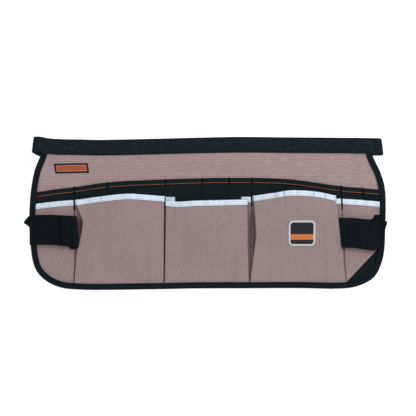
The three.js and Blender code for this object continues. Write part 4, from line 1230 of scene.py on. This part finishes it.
def new_material(name, roughness, specular, sheen=0.0, sheen_roughness=0.5):
    material = bpy.data.materials.new(name)
    material.use_nodes = True
    sockets = material.node_tree.nodes["Principled BSDF"].inputs
    sockets["Roughness"].default_value = roughness
    sockets["Specular IOR Level"].default_value = specular
    sockets["Sheen Weight"].default_value = sheen
    sockets["Sheen Roughness"].default_value = sheen_roughness
    return material, material.node_tree


def finish_material(material, colour, height=None, roughness=None):
    """Joins up the surface. The height is in millimetres."""
    tree = material.node_tree
    sockets = tree.nodes["Principled BSDF"].inputs
    tree.links.new(colour, sockets["Base Color"])
    if height is not None:
        bump = node(tree, "ShaderNodeBump", named={"Height": height, "Distance": MM, "Strength": 1.0})
        tree.links.new(bump.outputs[0], sockets["Normal"])
    if roughness is not None:
        tree.links.new(roughness, sockets["Roughness"])
    return material


def node(tree, kind, *inputs, **settings):
    made = tree.nodes.new(kind)
    named = settings.pop("named", {})
    for key, value in settings.items():
        setattr(made, key, value)
    for socket, value in [*enumerate(inputs), *named.items()]:
        if isinstance(value, bpy.types.NodeSocket):
            tree.links.new(value, made.inputs[socket])
        elif value is not None:
            made.inputs[socket].default_value = value
    return made


def math_node(tree, operation, a, b=None):
    return node(tree, "ShaderNodeMath", a, b, operation=operation).outputs[0]


def add_up(tree, *terms):
    """The sum of sockets or numbers, each times its weight."""
    total = None
    for socket, weight in terms:
        term = math_node(tree, "MULTIPLY", socket, weight)
        total = term if total is None else math_node(tree, "ADD", total, term)
    return total


def away_from(tree, value, middle):
    return math_node(tree, "ABSOLUTE", math_node(tree, "SUBTRACT", value, middle))


def ramp(tree, value, start, end, low, high):
    """From low to high while the value goes from start to end."""
    return node(tree, "ShaderNodeMapRange", value, start, end, low, high).outputs[0]


def mix_values(tree, factor, low, high):
    return ramp(tree, factor, 0.0, 1.0, low, high)


def wave(tree, at, pitch, phase=0.0):
    """From 0 to 1 and back over each pitch."""
    turned = math_node(tree, "ADD", math_node(tree, "MULTIPLY", at, math.tau / pitch), phase)
    return add_up(tree, (math_node(tree, "SINE", turned), 0.5), (1.0, 0.5))


def noise(tree, vector, scale, detail=2, stretch=(1, 1, 1)):
    mapped = node(tree, "ShaderNodeVectorMath", vector, stretch, operation="MULTIPLY").outputs[0]
    made = node(tree, "ShaderNodeTexNoise", named={"Vector": mapped, "Scale": scale, "Detail": detail})
    return made.outputs[0]


def blend(tree, factor, first, second):
    return node(tree, "ShaderNodeMix", named={0: factor, 6: first, 7: second}, data_type="RGBA").outputs[2]


def colours(tree, factor, first, second):
    return blend(tree, factor, (*first, 1), (*second, 1))


def shades(tree, factor, colour, low, high):
    """From a darker to a lighter share of one colour."""
    return colours(tree, factor, [low * part for part in colour], [high * part for part in colour])


def tint(tree, colour, factor, start, end):
    """A colour times a grey, which goes from one level to another with the factor."""
    level = mix_values(tree, factor, start, end)
    return node(tree, "ShaderNodeVectorMath", colour, level, operation="MULTIPLY").outputs[0]


# The painted shade that a cloth carries
def painted_shade_mark(tree):
    return node(tree, "ShaderNodeAttribute", attribute_name="dark").outputs["Fac"]


def cloth_coordinates(tree):
    uv = node(tree, "ShaderNodeUVMap", uv_map="cloth").outputs[0]
    parts = node(tree, "ShaderNodeSeparateXYZ", uv)
    return uv, parts.outputs[0], parts.outputs[1]


def object_coordinates(tree):
    return node(tree, "ShaderNodeTexCoord").outputs["Object"]


def mottling(tree, uv, scale, stretch=(1, 1, 1)):
    """Strong patches, lighter and darker."""
    return mix_values(tree, noise(tree, uv, scale, 2, stretch), -0.8, 1.8)


def inside_edge(tree, u, v, length, width):
    """How far inside the edge of a rectangle a point lies."""
    from_side = math_node(tree, "SUBTRACT", length / 2, math_node(tree, "ABSOLUTE", u))
    from_end = math_node(tree, "SUBTRACT", width / 2, math_node(tree, "ABSOLUTE", v))
    return math_node(tree, "MINIMUM", from_side, from_end)


def ribbed_canvas(name, colour, depth):
    """Canvas with fine ribs along V that come and go, yarns across them, slubs, streaks, faint wear and
    painted shade in tucks.
    """
    material, tree = new_material(name, roughness=0.92, specular=0.2, sheen=0.15, sheen_roughness=0.6)
    uv, u, v = cloth_coordinates(tree)
    wobble = noise(tree, uv, 0.05, stretch=(1, 0.3, 1))
    ribs = wave(tree, add_up(tree, (u, 1.0), (wobble, 2.2)), RIB_PITCH)
    fine_ribs = wave(tree, add_up(tree, (u, 1.0), (wobble, 1.1)), RIB_PITCH / 4)
    yarns = wave(tree, v, YARN_PITCH)
    fibres = noise(tree, uv, 0.9, 3, stretch=(1.6, 0.22, 1))
    grain = noise(tree, uv, 1.7)
    streaks = noise(tree, uv, 0.55, stretch=(1, 0.14, 1))
    strength = mix_values(tree, noise(tree, uv, 0.035), -0.7, 2.3)
    blotch = noise(tree, uv, 0.02, 3)
    contrast = math_node(tree, "MULTIPLY", math_node(tree, "SUBTRACT", ribs, 0.5), strength)
    shade = add_up(tree, (fine_ribs, 0.1), (yarns, 0.06), (fibres, 0.38), (blotch, 0.3), (1.0, 0.1))
    lines = add_up(tree, (contrast, 0.8), (streaks, 1.7), (1.0, -0.35))
    ribbed = tint(tree, shades(tree, shade, colour, 0.76, 1.24), lines, 1 - depth, 1 + depth)
    # Painted shade where the cloth is tucked into a pleat or lies beside a seam
    mixed = tint(tree, ribbed, painted_shade_mark(tree), 1.0, DEEPEST_PAINTED_SHADE)
    height = add_up(tree, (contrast, 0.14), (fine_ribs, 0.05), (yarns, 0.05), (fibres, 0.10), (grain, 0.08))
    return finish_material(material, mixed, height, mix_values(tree, grain, 0.84, 0.98))


def plain_black(name, colour):
    """Plainly woven cloth."""
    material, tree = new_material(name, roughness=0.9, specular=0.08, sheen=0.03, sheen_roughness=0.5)
    uv, u, v = cloth_coordinates(tree)
    checks = math_node(tree, "MULTIPLY", wave(tree, u, CHECK_PITCH), wave(tree, v, CHECK_PITCH))
    fibres = noise(tree, uv, 1.1, 3, stretch=(0.5, 1, 1))
    shade = add_up(tree, (checks, 0.3), (fibres, 0.25), (mottling(tree, uv, 0.2), 0.48))
    mixed = shades(tree, shade, colour, 0.7, 1.35)
    height = add_up(tree, (checks, 0.09), (fibres, 0.1))
    return finish_material(material, mixed, height, mix_values(tree, fibres, 0.8, 0.97))


def woven_webbing(name, colour, columns_pitch, pick_pitch):
    """Webbing: lengthwise ribs crossed by slanting picks, as a herringbone."""
    material, tree = new_material(name, roughness=0.8, specular=0.05, sheen=0.02, sheen_roughness=0.4)
    uv, u, v = cloth_coordinates(tree)
    zigzag = math_node(tree, "PINGPONG", v, columns_pitch)
    picks = wave(tree, add_up(tree, (u, 1.0), (zigzag, 0.6)), pick_pitch)
    columns = wave(tree, v, columns_pitch)
    fibres = noise(tree, uv, 1.0, 3, stretch=(0.4, 1.6, 1))
    mottle = mottling(tree, uv, 0.22, stretch=(1, 0.6, 1))
    shade = add_up(tree, (picks, 0.25), (columns, 0.1), (fibres, 0.2), (mottle, 0.5))
    # Painted shade at the webbing's creases and stripes
    mixed = tint(tree, shades(tree, shade, colour, 0.5, 1.6), painted_shade_mark(tree), 1.0, DEEPEST_PAINTED_SHADE)
    height = add_up(tree, (picks, 0.16), (columns, 0.10), (fibres, 0.05))
    return finish_material(material, mixed, height, mix_values(tree, fibres, 0.6, 0.85))


def ribbed_binding(name, colour):
    """Tape with fine ribs across it."""
    material, tree = new_material(name, roughness=0.85, specular=0.05, sheen=0.02, sheen_roughness=0.4)
    uv, u, _ = cloth_coordinates(tree)
    ribs = wave(tree, u, BINDING_RIB_PITCH)
    fibres = noise(tree, uv, 1.2, 3, stretch=(1, 0.4, 1))
    shade = add_up(tree, (ribs, 0.3), (fibres, 0.35), (noise(tree, uv, 0.04), 0.35))
    mixed = shades(tree, shade, colour, 0.6, 1.4)
    height = add_up(tree, (ribs, 0.12), (fibres, 0.08))
    return finish_material(material, mixed, height, mix_values(tree, fibres, 0.75, 0.95))


def silver_tape(name):
    """Reflective tape: pale, with fine lengthwise lines, painted shade at its creases and in the pleats, and
    a grain of glass beads.
    """
    material, tree = new_material(name, roughness=0.5, specular=0.5, sheen=0.1, sheen_roughness=0.3)
    uv, _, v = cloth_coordinates(tree)
    sharp = math_node(tree, "POWER", wave(tree, v, LINE_PITCH, phase=2.0), 5.0)
    broken = mix_values(tree, noise(tree, uv, 0.12, 3, stretch=(1, 0.3, 1)), -0.5, 2.0)
    line = math_node(tree, "MULTIPLY", sharp, broken)
    beads = noise(tree, uv, 3.5)
    blotch = noise(tree, uv, 0.12, 3)
    # Painted shade in the pleats and at the creases
    shade = add_up(tree, (line, 0.75), (beads, 0.15), (blotch, 0.3), (painted_shade_mark(tree), 0.6))
    height = add_up(tree, (line, -0.12), (beads, 0.05), (blotch, 0.2))
    return finish_material(material, colours(tree, shade, *SILVER), height, mix_values(tree, beads, 0.4, 0.6))


def twisted_thread(name, colour, shine=0.25):
    material, tree = new_material(name, roughness=0.6, specular=shine)
    place = object_coordinates(tree)
    fibres = noise(tree, place, 1800)
    shade = add_up(tree, (fibres, 0.5), (noise(tree, place, 90), 0.5))
    return finish_material(material, shades(tree, shade, colour, 0.7, 1.3), add_up(tree, (fibres, 0.1)))


def label_weave(name):
    """A rust field inside a black border, with a thin bright line round it, in satin weave."""
    material, tree = new_material(name, roughness=0.7, specular=0.25, sheen=0.1)
    uv, u, v = cloth_coordinates(tree)
    edge = inside_edge(tree, u, v, LABEL_LENGTH, LABEL_WIDTH)
    inside = ramp(tree, edge, LABEL_BORDER, LABEL_BORDER + 0.3, 0.0, 1.0)
    line = ramp(tree, away_from(tree, edge, LABEL_LINE), 0.3, 0.5, 1.0, 0.0)
    picks = wave(tree, add_up(tree, (u, 1.0), (v, 1.0)), PICK_PITCH)
    fibres = noise(tree, uv, 2.2, 3, stretch=(0.4, 1.6, 1))
    shade = add_up(tree, (picks, 0.4), (fibres, 0.6))
    rust = blend(tree, line, colours(tree, shade, *LABEL_RUST), colours(tree, shade, *LABEL_BRIGHT))
    mixed = blend(tree, inside, colours(tree, fibres, *LABEL_BLACK), rust)
    return finish_material(material, mixed, add_up(tree, (picks, 0.06), (fibres, 0.08), (inside, -0.1)))


def patch_weave(name):
    """A dark twill field with a plain rust band low across it, inside a pale rim."""
    material, tree = new_material(name, roughness=0.8, specular=0.15, sheen=0.1)
    uv, u, v = cloth_coordinates(tree)
    edge = inside_edge(tree, u, v, PATCH_WIDTH, PATCH_HEIGHT)
    inside = ramp(tree, edge, PATCH_RIM, PATCH_RIM + 0.4, 0.0, 1.0)
    band = ramp(tree, away_from(tree, v, PATCH_BAND_MIDDLE), PATCH_BAND / 2, PATCH_BAND / 2 + 0.4, 1.0, 0.0)
    twill = wave(tree, add_up(tree, (u, 1.0), (v, 1.0)), TWILL_PITCH)
    fibres = noise(tree, uv, 1.8, 3, stretch=(0.5, 1.5, 1))
    shade = add_up(tree, (twill, 0.4), (fibres, 0.6))
    woven = blend(tree, band, colours(tree, shade, *PATCH_DARK), colours(tree, shade, *PATCH_RUST))
    mixed = blend(tree, inside, colours(tree, shade, *PATCH_PALE), woven)
    return finish_material(material, mixed, add_up(tree, (twill, 0.12), (fibres, 0.1), (band, 0.25)))


def moulded_plastic(name):
    material, tree = new_material(name, roughness=0.45, specular=0.4)
    place = object_coordinates(tree)
    grain = noise(tree, place, 900, 3)
    mixed = colours(tree, noise(tree, place, 60), *PLASTIC)
    return finish_material(material, mixed, add_up(tree, (grain, 0.05)), mix_values(tree, grain, 0.35, 0.55))


def pale_floor(name):
    material, tree = new_material(name, roughness=0.95, specular=0.1)
    sockets = tree.nodes["Principled BSDF"].inputs
    sockets["Emission Color"].default_value = (1, 1, 1, 1)
    sockets["Emission Strength"].default_value = FLOOR_GLOW
    return finish_material(material, colours(tree, noise(tree, object_coordinates(tree), 3), *FLOOR))


def wear(piece, material):
    piece.data.materials.append(material)


# Thread

THREAD_RINGS = 7
THREAD_SIDES = 6
THREAD_STAND = 0.55  # how high a thread's middle stands, in radii
THREAD_FLATNESS = 0.85
THREAD_JITTER = 0.03
ZIGZAG_SLANT = 0.22


def threads(name, centres, aheads, normals, length, radius, bury=0.9):
    """Short threads as one mesh. Each lies on the surface at its middle and dips into it at its ends."""
    count = len(centres)
    t = np.linspace(-1, 1, THREAD_RINGS)
    along = t * (np.reshape(length, (-1, 1)) / 2 + np.zeros((count, 1)))
    height = radius * (THREAD_STAND - bury * np.abs(t) ** 3)
    girth = radius * np.sqrt(np.clip(1 - np.abs(t) ** 6, 0.12, 1))
    round_angle = np.linspace(0, math.tau, THREAD_SIDES, endpoint=False)
    sides = unit(np.cross(normals, aheads))
    ahead = unit(aheads)
    ring_side = girth[:, None] * np.cos(round_angle)[None, :]
    ring_up = height[:, None] + girth[:, None] * np.sin(round_angle)[None, :] * THREAD_FLATNESS
    points = (centres[:, None, None, :]
              + along[:, :, None, None] * ahead[:, None, None, :]
              + ring_side[None, :, :, None] * sides[:, None, None, :]
              + ring_up[None, :, :, None] * normals[:, None, None, :])
    index = np.arange(count * THREAD_RINGS * THREAD_SIDES).reshape(count, THREAD_RINGS, THREAD_SIDES)
    behind, front = index[:, :-1], index[:, 1:]
    quads = joined(behind, np.roll(behind, -1, axis=2), np.roll(front, -1, axis=2), front)
    caps = np.concatenate([index[:, 0, ::-1], index[:, -1]])
    return make_mesh(name, points, [quads.reshape(-1, 4), caps], sharp=80)


def seam_line(line, pitch):
    """Middles and directions of stitches along a line of points on a surface."""
    at = np.arange(pitch / 2, lengths(line)[-1], pitch)
    return points_at(line, at), points_at(line, at + pitch / 3) - points_at(line, at - pitch / 3)


def up_normals(aheads):
    """Upward directions square to each stitch."""
    ahead = unit(aheads)
    return unit(UP[None, :] - ahead * ahead[:, 2:3])


def stitch_rows(name, lines, pitch, length, radius):
    centres, aheads = zip(*[seam_line(line, pitch) for line in lines])
    centres, aheads = np.vstack(centres), np.vstack(aheads)
    jitter = rng.normal(0, THREAD_JITTER, aheads.shape) * np.linalg.norm(aheads, axis=1, keepdims=True)
    aheads = aheads + jitter * np.array([1, 1, 0])
    return threads(name, centres, aheads, up_normals(aheads), length, radius)


def bar_tacks(name, bars, width, pitch, radius):
    """Dense zigzags. Each bar is a line of points on a surface, crossed by threads."""
    centres, aheads, normals, sizes = [], [], [], []
    for bar in bars:
        middle, ahead = seam_line(bar, pitch)
        ahead = unit(ahead)
        sign = np.where(np.arange(len(middle)) % 2, 1, -1)[:, None]
        centres.append(middle)
        aheads.append(np.cross(up_normals(ahead), ahead) + ZIGZAG_SLANT * ahead * sign)
        normals.append(up_normals(aheads[-1]))
        sizes.append(width * rng.uniform(0.9, 1.08, len(middle)))
    centres, aheads, normals = (np.vstack(rows) for rows in (centres, aheads, normals))
    return threads(name, centres, aheads, normals, np.concatenate(sizes), radius, bury=0.6)


# Rows of stitches

STITCH_PITCH = 3.0
BAR_LENGTH = 16.5
SLOT_SEAM_LENGTH = 40
TACK_SPACE = 1.5  # between the topstitch and a bar tack
STITCH_INSET = {"binding": 1.9, "belt": 2.2, "tape": 1.2, "label": 1.0}  # from the edge


def rear_line(places, depths):
    """Points on the rear layer, at places along it and distances below its mouth."""
    places, depths = np.broadcast_arrays(places, depths)
    y = rear_mouth(places) - depths
    x = np.array([place_x(min(place, LAST_PLACE), height) for place, height in zip(places, y)])
    return joined(x, y, rear_top(x, y))


def topstitch():
    """The orange row along the rear layer's hem, broken at each bar tack."""
    stops = [0.02, *SLOTS["end"][:-1], 4.98]
    lines = []
    for start, end in zip(stops, stops[1:]):
        line = rear_line(np.linspace(start, end, 160), TOPSTITCH_DEPTH)
        along = lengths(line)
        lines.append(line[(along > TACK_SPACE) & (along < along[-1] - TACK_SPACE)])
    return stitch_rows("orange_topstitch", lines, pitch=3.7, length=2.7, radius=0.55)


def seam_column(seam, start, end):
    """Points down the front strip at a seam, between two depths below its mouth."""
    under = POUCHES[seam]["left"]["under"] if seam < 3 else POUCHES[2]["right"]["under"]
    depth = np.linspace(start, end, 90)
    mouth = up(under)
    y = mouth - depth
    x = seam_x(seam, y)
    bottom = bottom_y(x)
    rise = (y - bottom) / (mouth - bottom)
    over_tape = (MOUTH_TAPE + TAPE_SPACE) * (1 - fade(depth, TAPE_FLANGE + 0.5, TAPE_FLANGE + 1.6))
    z = strip_z(x, y, rise, bottom, mouth) + CANVAS / 2 + over_tape
    return joined(x, y, z)


def seam_depth(seam):
    """How far below its mouth the strip's seam ends, at the binding."""
    x = seam_x(seam, BOTTOM_LEVEL)
    return MOUTH_LEVEL - bottom_y(x) - BINDING_WIDTH


def seam_stitches():
    lines = [seam_column(seam, BAR_LENGTH, seam_depth(seam)) for seam in range(4)]
    depths = np.linspace(HEM_DEPTH + 1, SLOT_SEAM_LENGTH, 40)
    lines += [rear_line(end, depths) for end in SLOTS["end"][:-1]]
    return stitch_rows("black_seam_stitches", lines, STITCH_PITCH, length=2.6, radius=0.5)


def seam_bars():
    bars = [seam_column(seam, -0.6, BAR_LENGTH) for seam in range(4)]
    bars += [rear_line(end, np.linspace(-0.4, HEM_DEPTH + 1, 40)) for end in SLOTS["end"][:-1]]
    return bar_tacks("black_bar_tacks", bars, width=3.1, pitch=0.5, radius=0.5)


def binding_stitches():
    _, top = binding_levels()
    inside = OUTER + INWARD * (BINDING_COVER - STITCH_INSET["binding"])
    line = np.column_stack([inside, top])
    return stitch_rows("binding_stitches", [line], STITCH_PITCH, length=2.5, radius=0.36)


def belt_stitches():
    x = np.linspace(across(-0.9), across(0.9), 300)
    middle = BELT_MIDDLE + bow_front(x / across(1)) * BELT_WIDTH
    z = belt_front_z(x) + WEBBING / 2
    lines = [joined(x, middle + side * (BELT_WIDTH / 2 - STITCH_INSET["belt"]), z) for side in (-1, 1)]
    return stitch_rows("belt_stitches", lines, STITCH_PITCH, length=2.5, radius=0.4)


def tape_stitches():
    """The row that holds the silver tape, near the lower edge of its front flange."""
    mouth, down, normal = mouth_edge()
    depth = TAPE_FLANGE - STITCH_INSET["tape"]
    line = mouth + down * depth + normal * (CANVAS / 2 + TAPE_SPACE + MOUTH_TAPE)
    facing = normal[:, 2] > 0.9
    runs = np.split(np.arange(len(line)), np.flatnonzero(np.diff(facing.astype(int))) + 1)
    lines = [line[run] for run in runs if facing[run[0]] and len(run) > 12]
    return stitch_rows("tape_stitches", lines, pitch=2.8, length=2.2, radius=0.26)


def label_stitches():
    half = np.array([LABEL_LENGTH, LABEL_WIDTH]) / 2 - STITCH_INSET["label"]
    flat = resample(closed(half * [(-1, -1), (1, -1), (1, 1), (-1, 1)]), 0.5)
    x, y = label_point(flat[:, 0], flat[:, 1])
    line = joined(x, y, label_z(x, y) + BADGE - 0.3)
    return stitch_rows("label_stitches", [line], pitch=2.2, length=1.8, radius=0.28)


# Building

panel = backing_panel()
rear = rear_pocket_layer()
strip = front_strip()
tape = mouth_tape()
binding = edge_binding()
belt = waist_belt()
buckle = belt_buckle()
left_loop = hammer_loop("left_loop_webbing")
right_loop = hammer_loop("right_loop_webbing")
label = woven_label()
patch = front_patch()
rim = patch_rim()

wear(panel, ribbed_canvas("panel_canvas", PANEL_COLOUR, depth=0.19))
wear(rear, plain_black("black_cloth", BLACK_CLOTH))
wear(strip, ribbed_canvas("pocket_canvas", POCKET_COLOUR, depth=0.12))
wear(tape, silver_tape("silver_tape"))
wear(binding, ribbed_binding("black_binding", BINDING_COLOUR))
wear(belt, woven_webbing("belt_webbing", BELT_COLOUR, columns_pitch=2.1, pick_pitch=1.25))
loop_material = woven_webbing("loop_webbing", LOOP_COLOUR, columns_pitch=2.6, pick_pitch=1.5)
wear(left_loop, loop_material)
wear(right_loop, loop_material)
wear(buckle, moulded_plastic("black_plastic"))
wear(label, label_weave("label_weave"))
wear(patch, patch_weave("patch_weave"))
wear(rim, twisted_thread("rim_thread", RIM_THREAD))
wear(topstitch(), twisted_thread("orange_thread", ORANGE))
wear(tape_stitches(), twisted_thread("silver_thread", SILVER_THREAD))
black_thread = twisted_thread("black_thread", BLACK_THREAD, shine=0.06)
wear(seam_stitches(), black_thread)
wear(seam_bars(), black_thread)
wear(binding_stitches(), black_thread)
wear(belt_stitches(), black_thread)
wear(label_stitches(), black_thread)

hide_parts("backing_panel")
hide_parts("rear_pocket_layer")
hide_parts("left_side_pocket", "left_pouch", "centre_pouch", "right_pouch", "right_side_pocket")
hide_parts("left_side_mouth_tape", "left_pouch_mouth_tape", "centre_pouch_mouth_tape",
            "right_pouch_mouth_tape", "right_side_mouth_tape")
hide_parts("edge_binding")
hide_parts("waist_belt")
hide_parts("belt_buckle")
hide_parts("left_hammer_loop")
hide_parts("right_hammer_loop")
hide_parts("woven_label")
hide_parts("front_patch")


# Points along the rear layer's mouth, the belt and the hammer loops, which nothing uses


rear_places = np.linspace(0, LAST_PLACE, 200)
rear_edge_y = rear_mouth(rear_places)
belt_x, belt_z, _ = belt_path()

for name, piece in [("left_loop_webbing", left_loop), ("right_loop_webbing", right_loop)]:
    line, _ = loop_path(LOOPS[name])


# The stage, in metres: a pale floor, a soft light overhead and an even sky

FLOOR_REACH = 6
SKY = 0.75
LAMP = 21  # watts
LAMP_SIZE = (1.6, 1.2)
LAMP_PLACE = (0.75, 0.7, 1.7)


def stage():
    low = CAD_BOX[0][2] - 0.1 * MM
    mesh = bpy.data.meshes.new("floor")
    corners = [(-1, -1), (1, -1), (1, 1), (-1, 1)]
    mesh.from_pydata([(x * FLOOR_REACH, y * FLOOR_REACH, low) for x, y in corners], [], [(0, 1, 2, 3)])
    floor = bpy.data.objects.new("floor", mesh)
    bpy.context.scene.collection.objects.link(floor)
    floor.data.materials.append(pale_floor("pale_floor"))
    world = bpy.data.worlds.new("even_sky")
    world.use_nodes = True
    background = world.node_tree.nodes["Background"].inputs
    background["Color"].default_value = (1, 1, 1, 1)
    background["Strength"].default_value = SKY
    bpy.context.scene.world = world
    lamp = bpy.data.lights.new("softbox", "AREA")
    lamp.shape = "RECTANGLE"
    lamp.size, lamp.size_y = LAMP_SIZE
    lamp.energy = LAMP
    light = bpy.data.objects.new("softbox", lamp)
    light.location = LAMP_PLACE
    light.rotation_euler = (-light.location).to_track_quat("-Z", "Y").to_euler()
    bpy.context.scene.collection.objects.link(light)


# The camera, straight above, with the photo's framing

LENS = 100
SENSOR = 36
FRAME_WIDTH = 678
VIEW_CENTRE = (0.57, 9.94)


def camera():
    data = bpy.data.cameras.new("camera")
    data.lens, data.sensor_width = LENS, SENSOR
    placed = bpy.data.objects.new("camera", data)
    height = FRAME_WIDTH * LENS / SENSOR
    placed.location = (VIEW_CENTRE[0] * MM, VIEW_CENTRE[1] * MM, height * MM)
    bpy.context.scene.collection.objects.link(placed)
    bpy.context.scene.camera = placed


stage()
camera()
bpy.context.scene.view_settings.view_transform = "Standard"
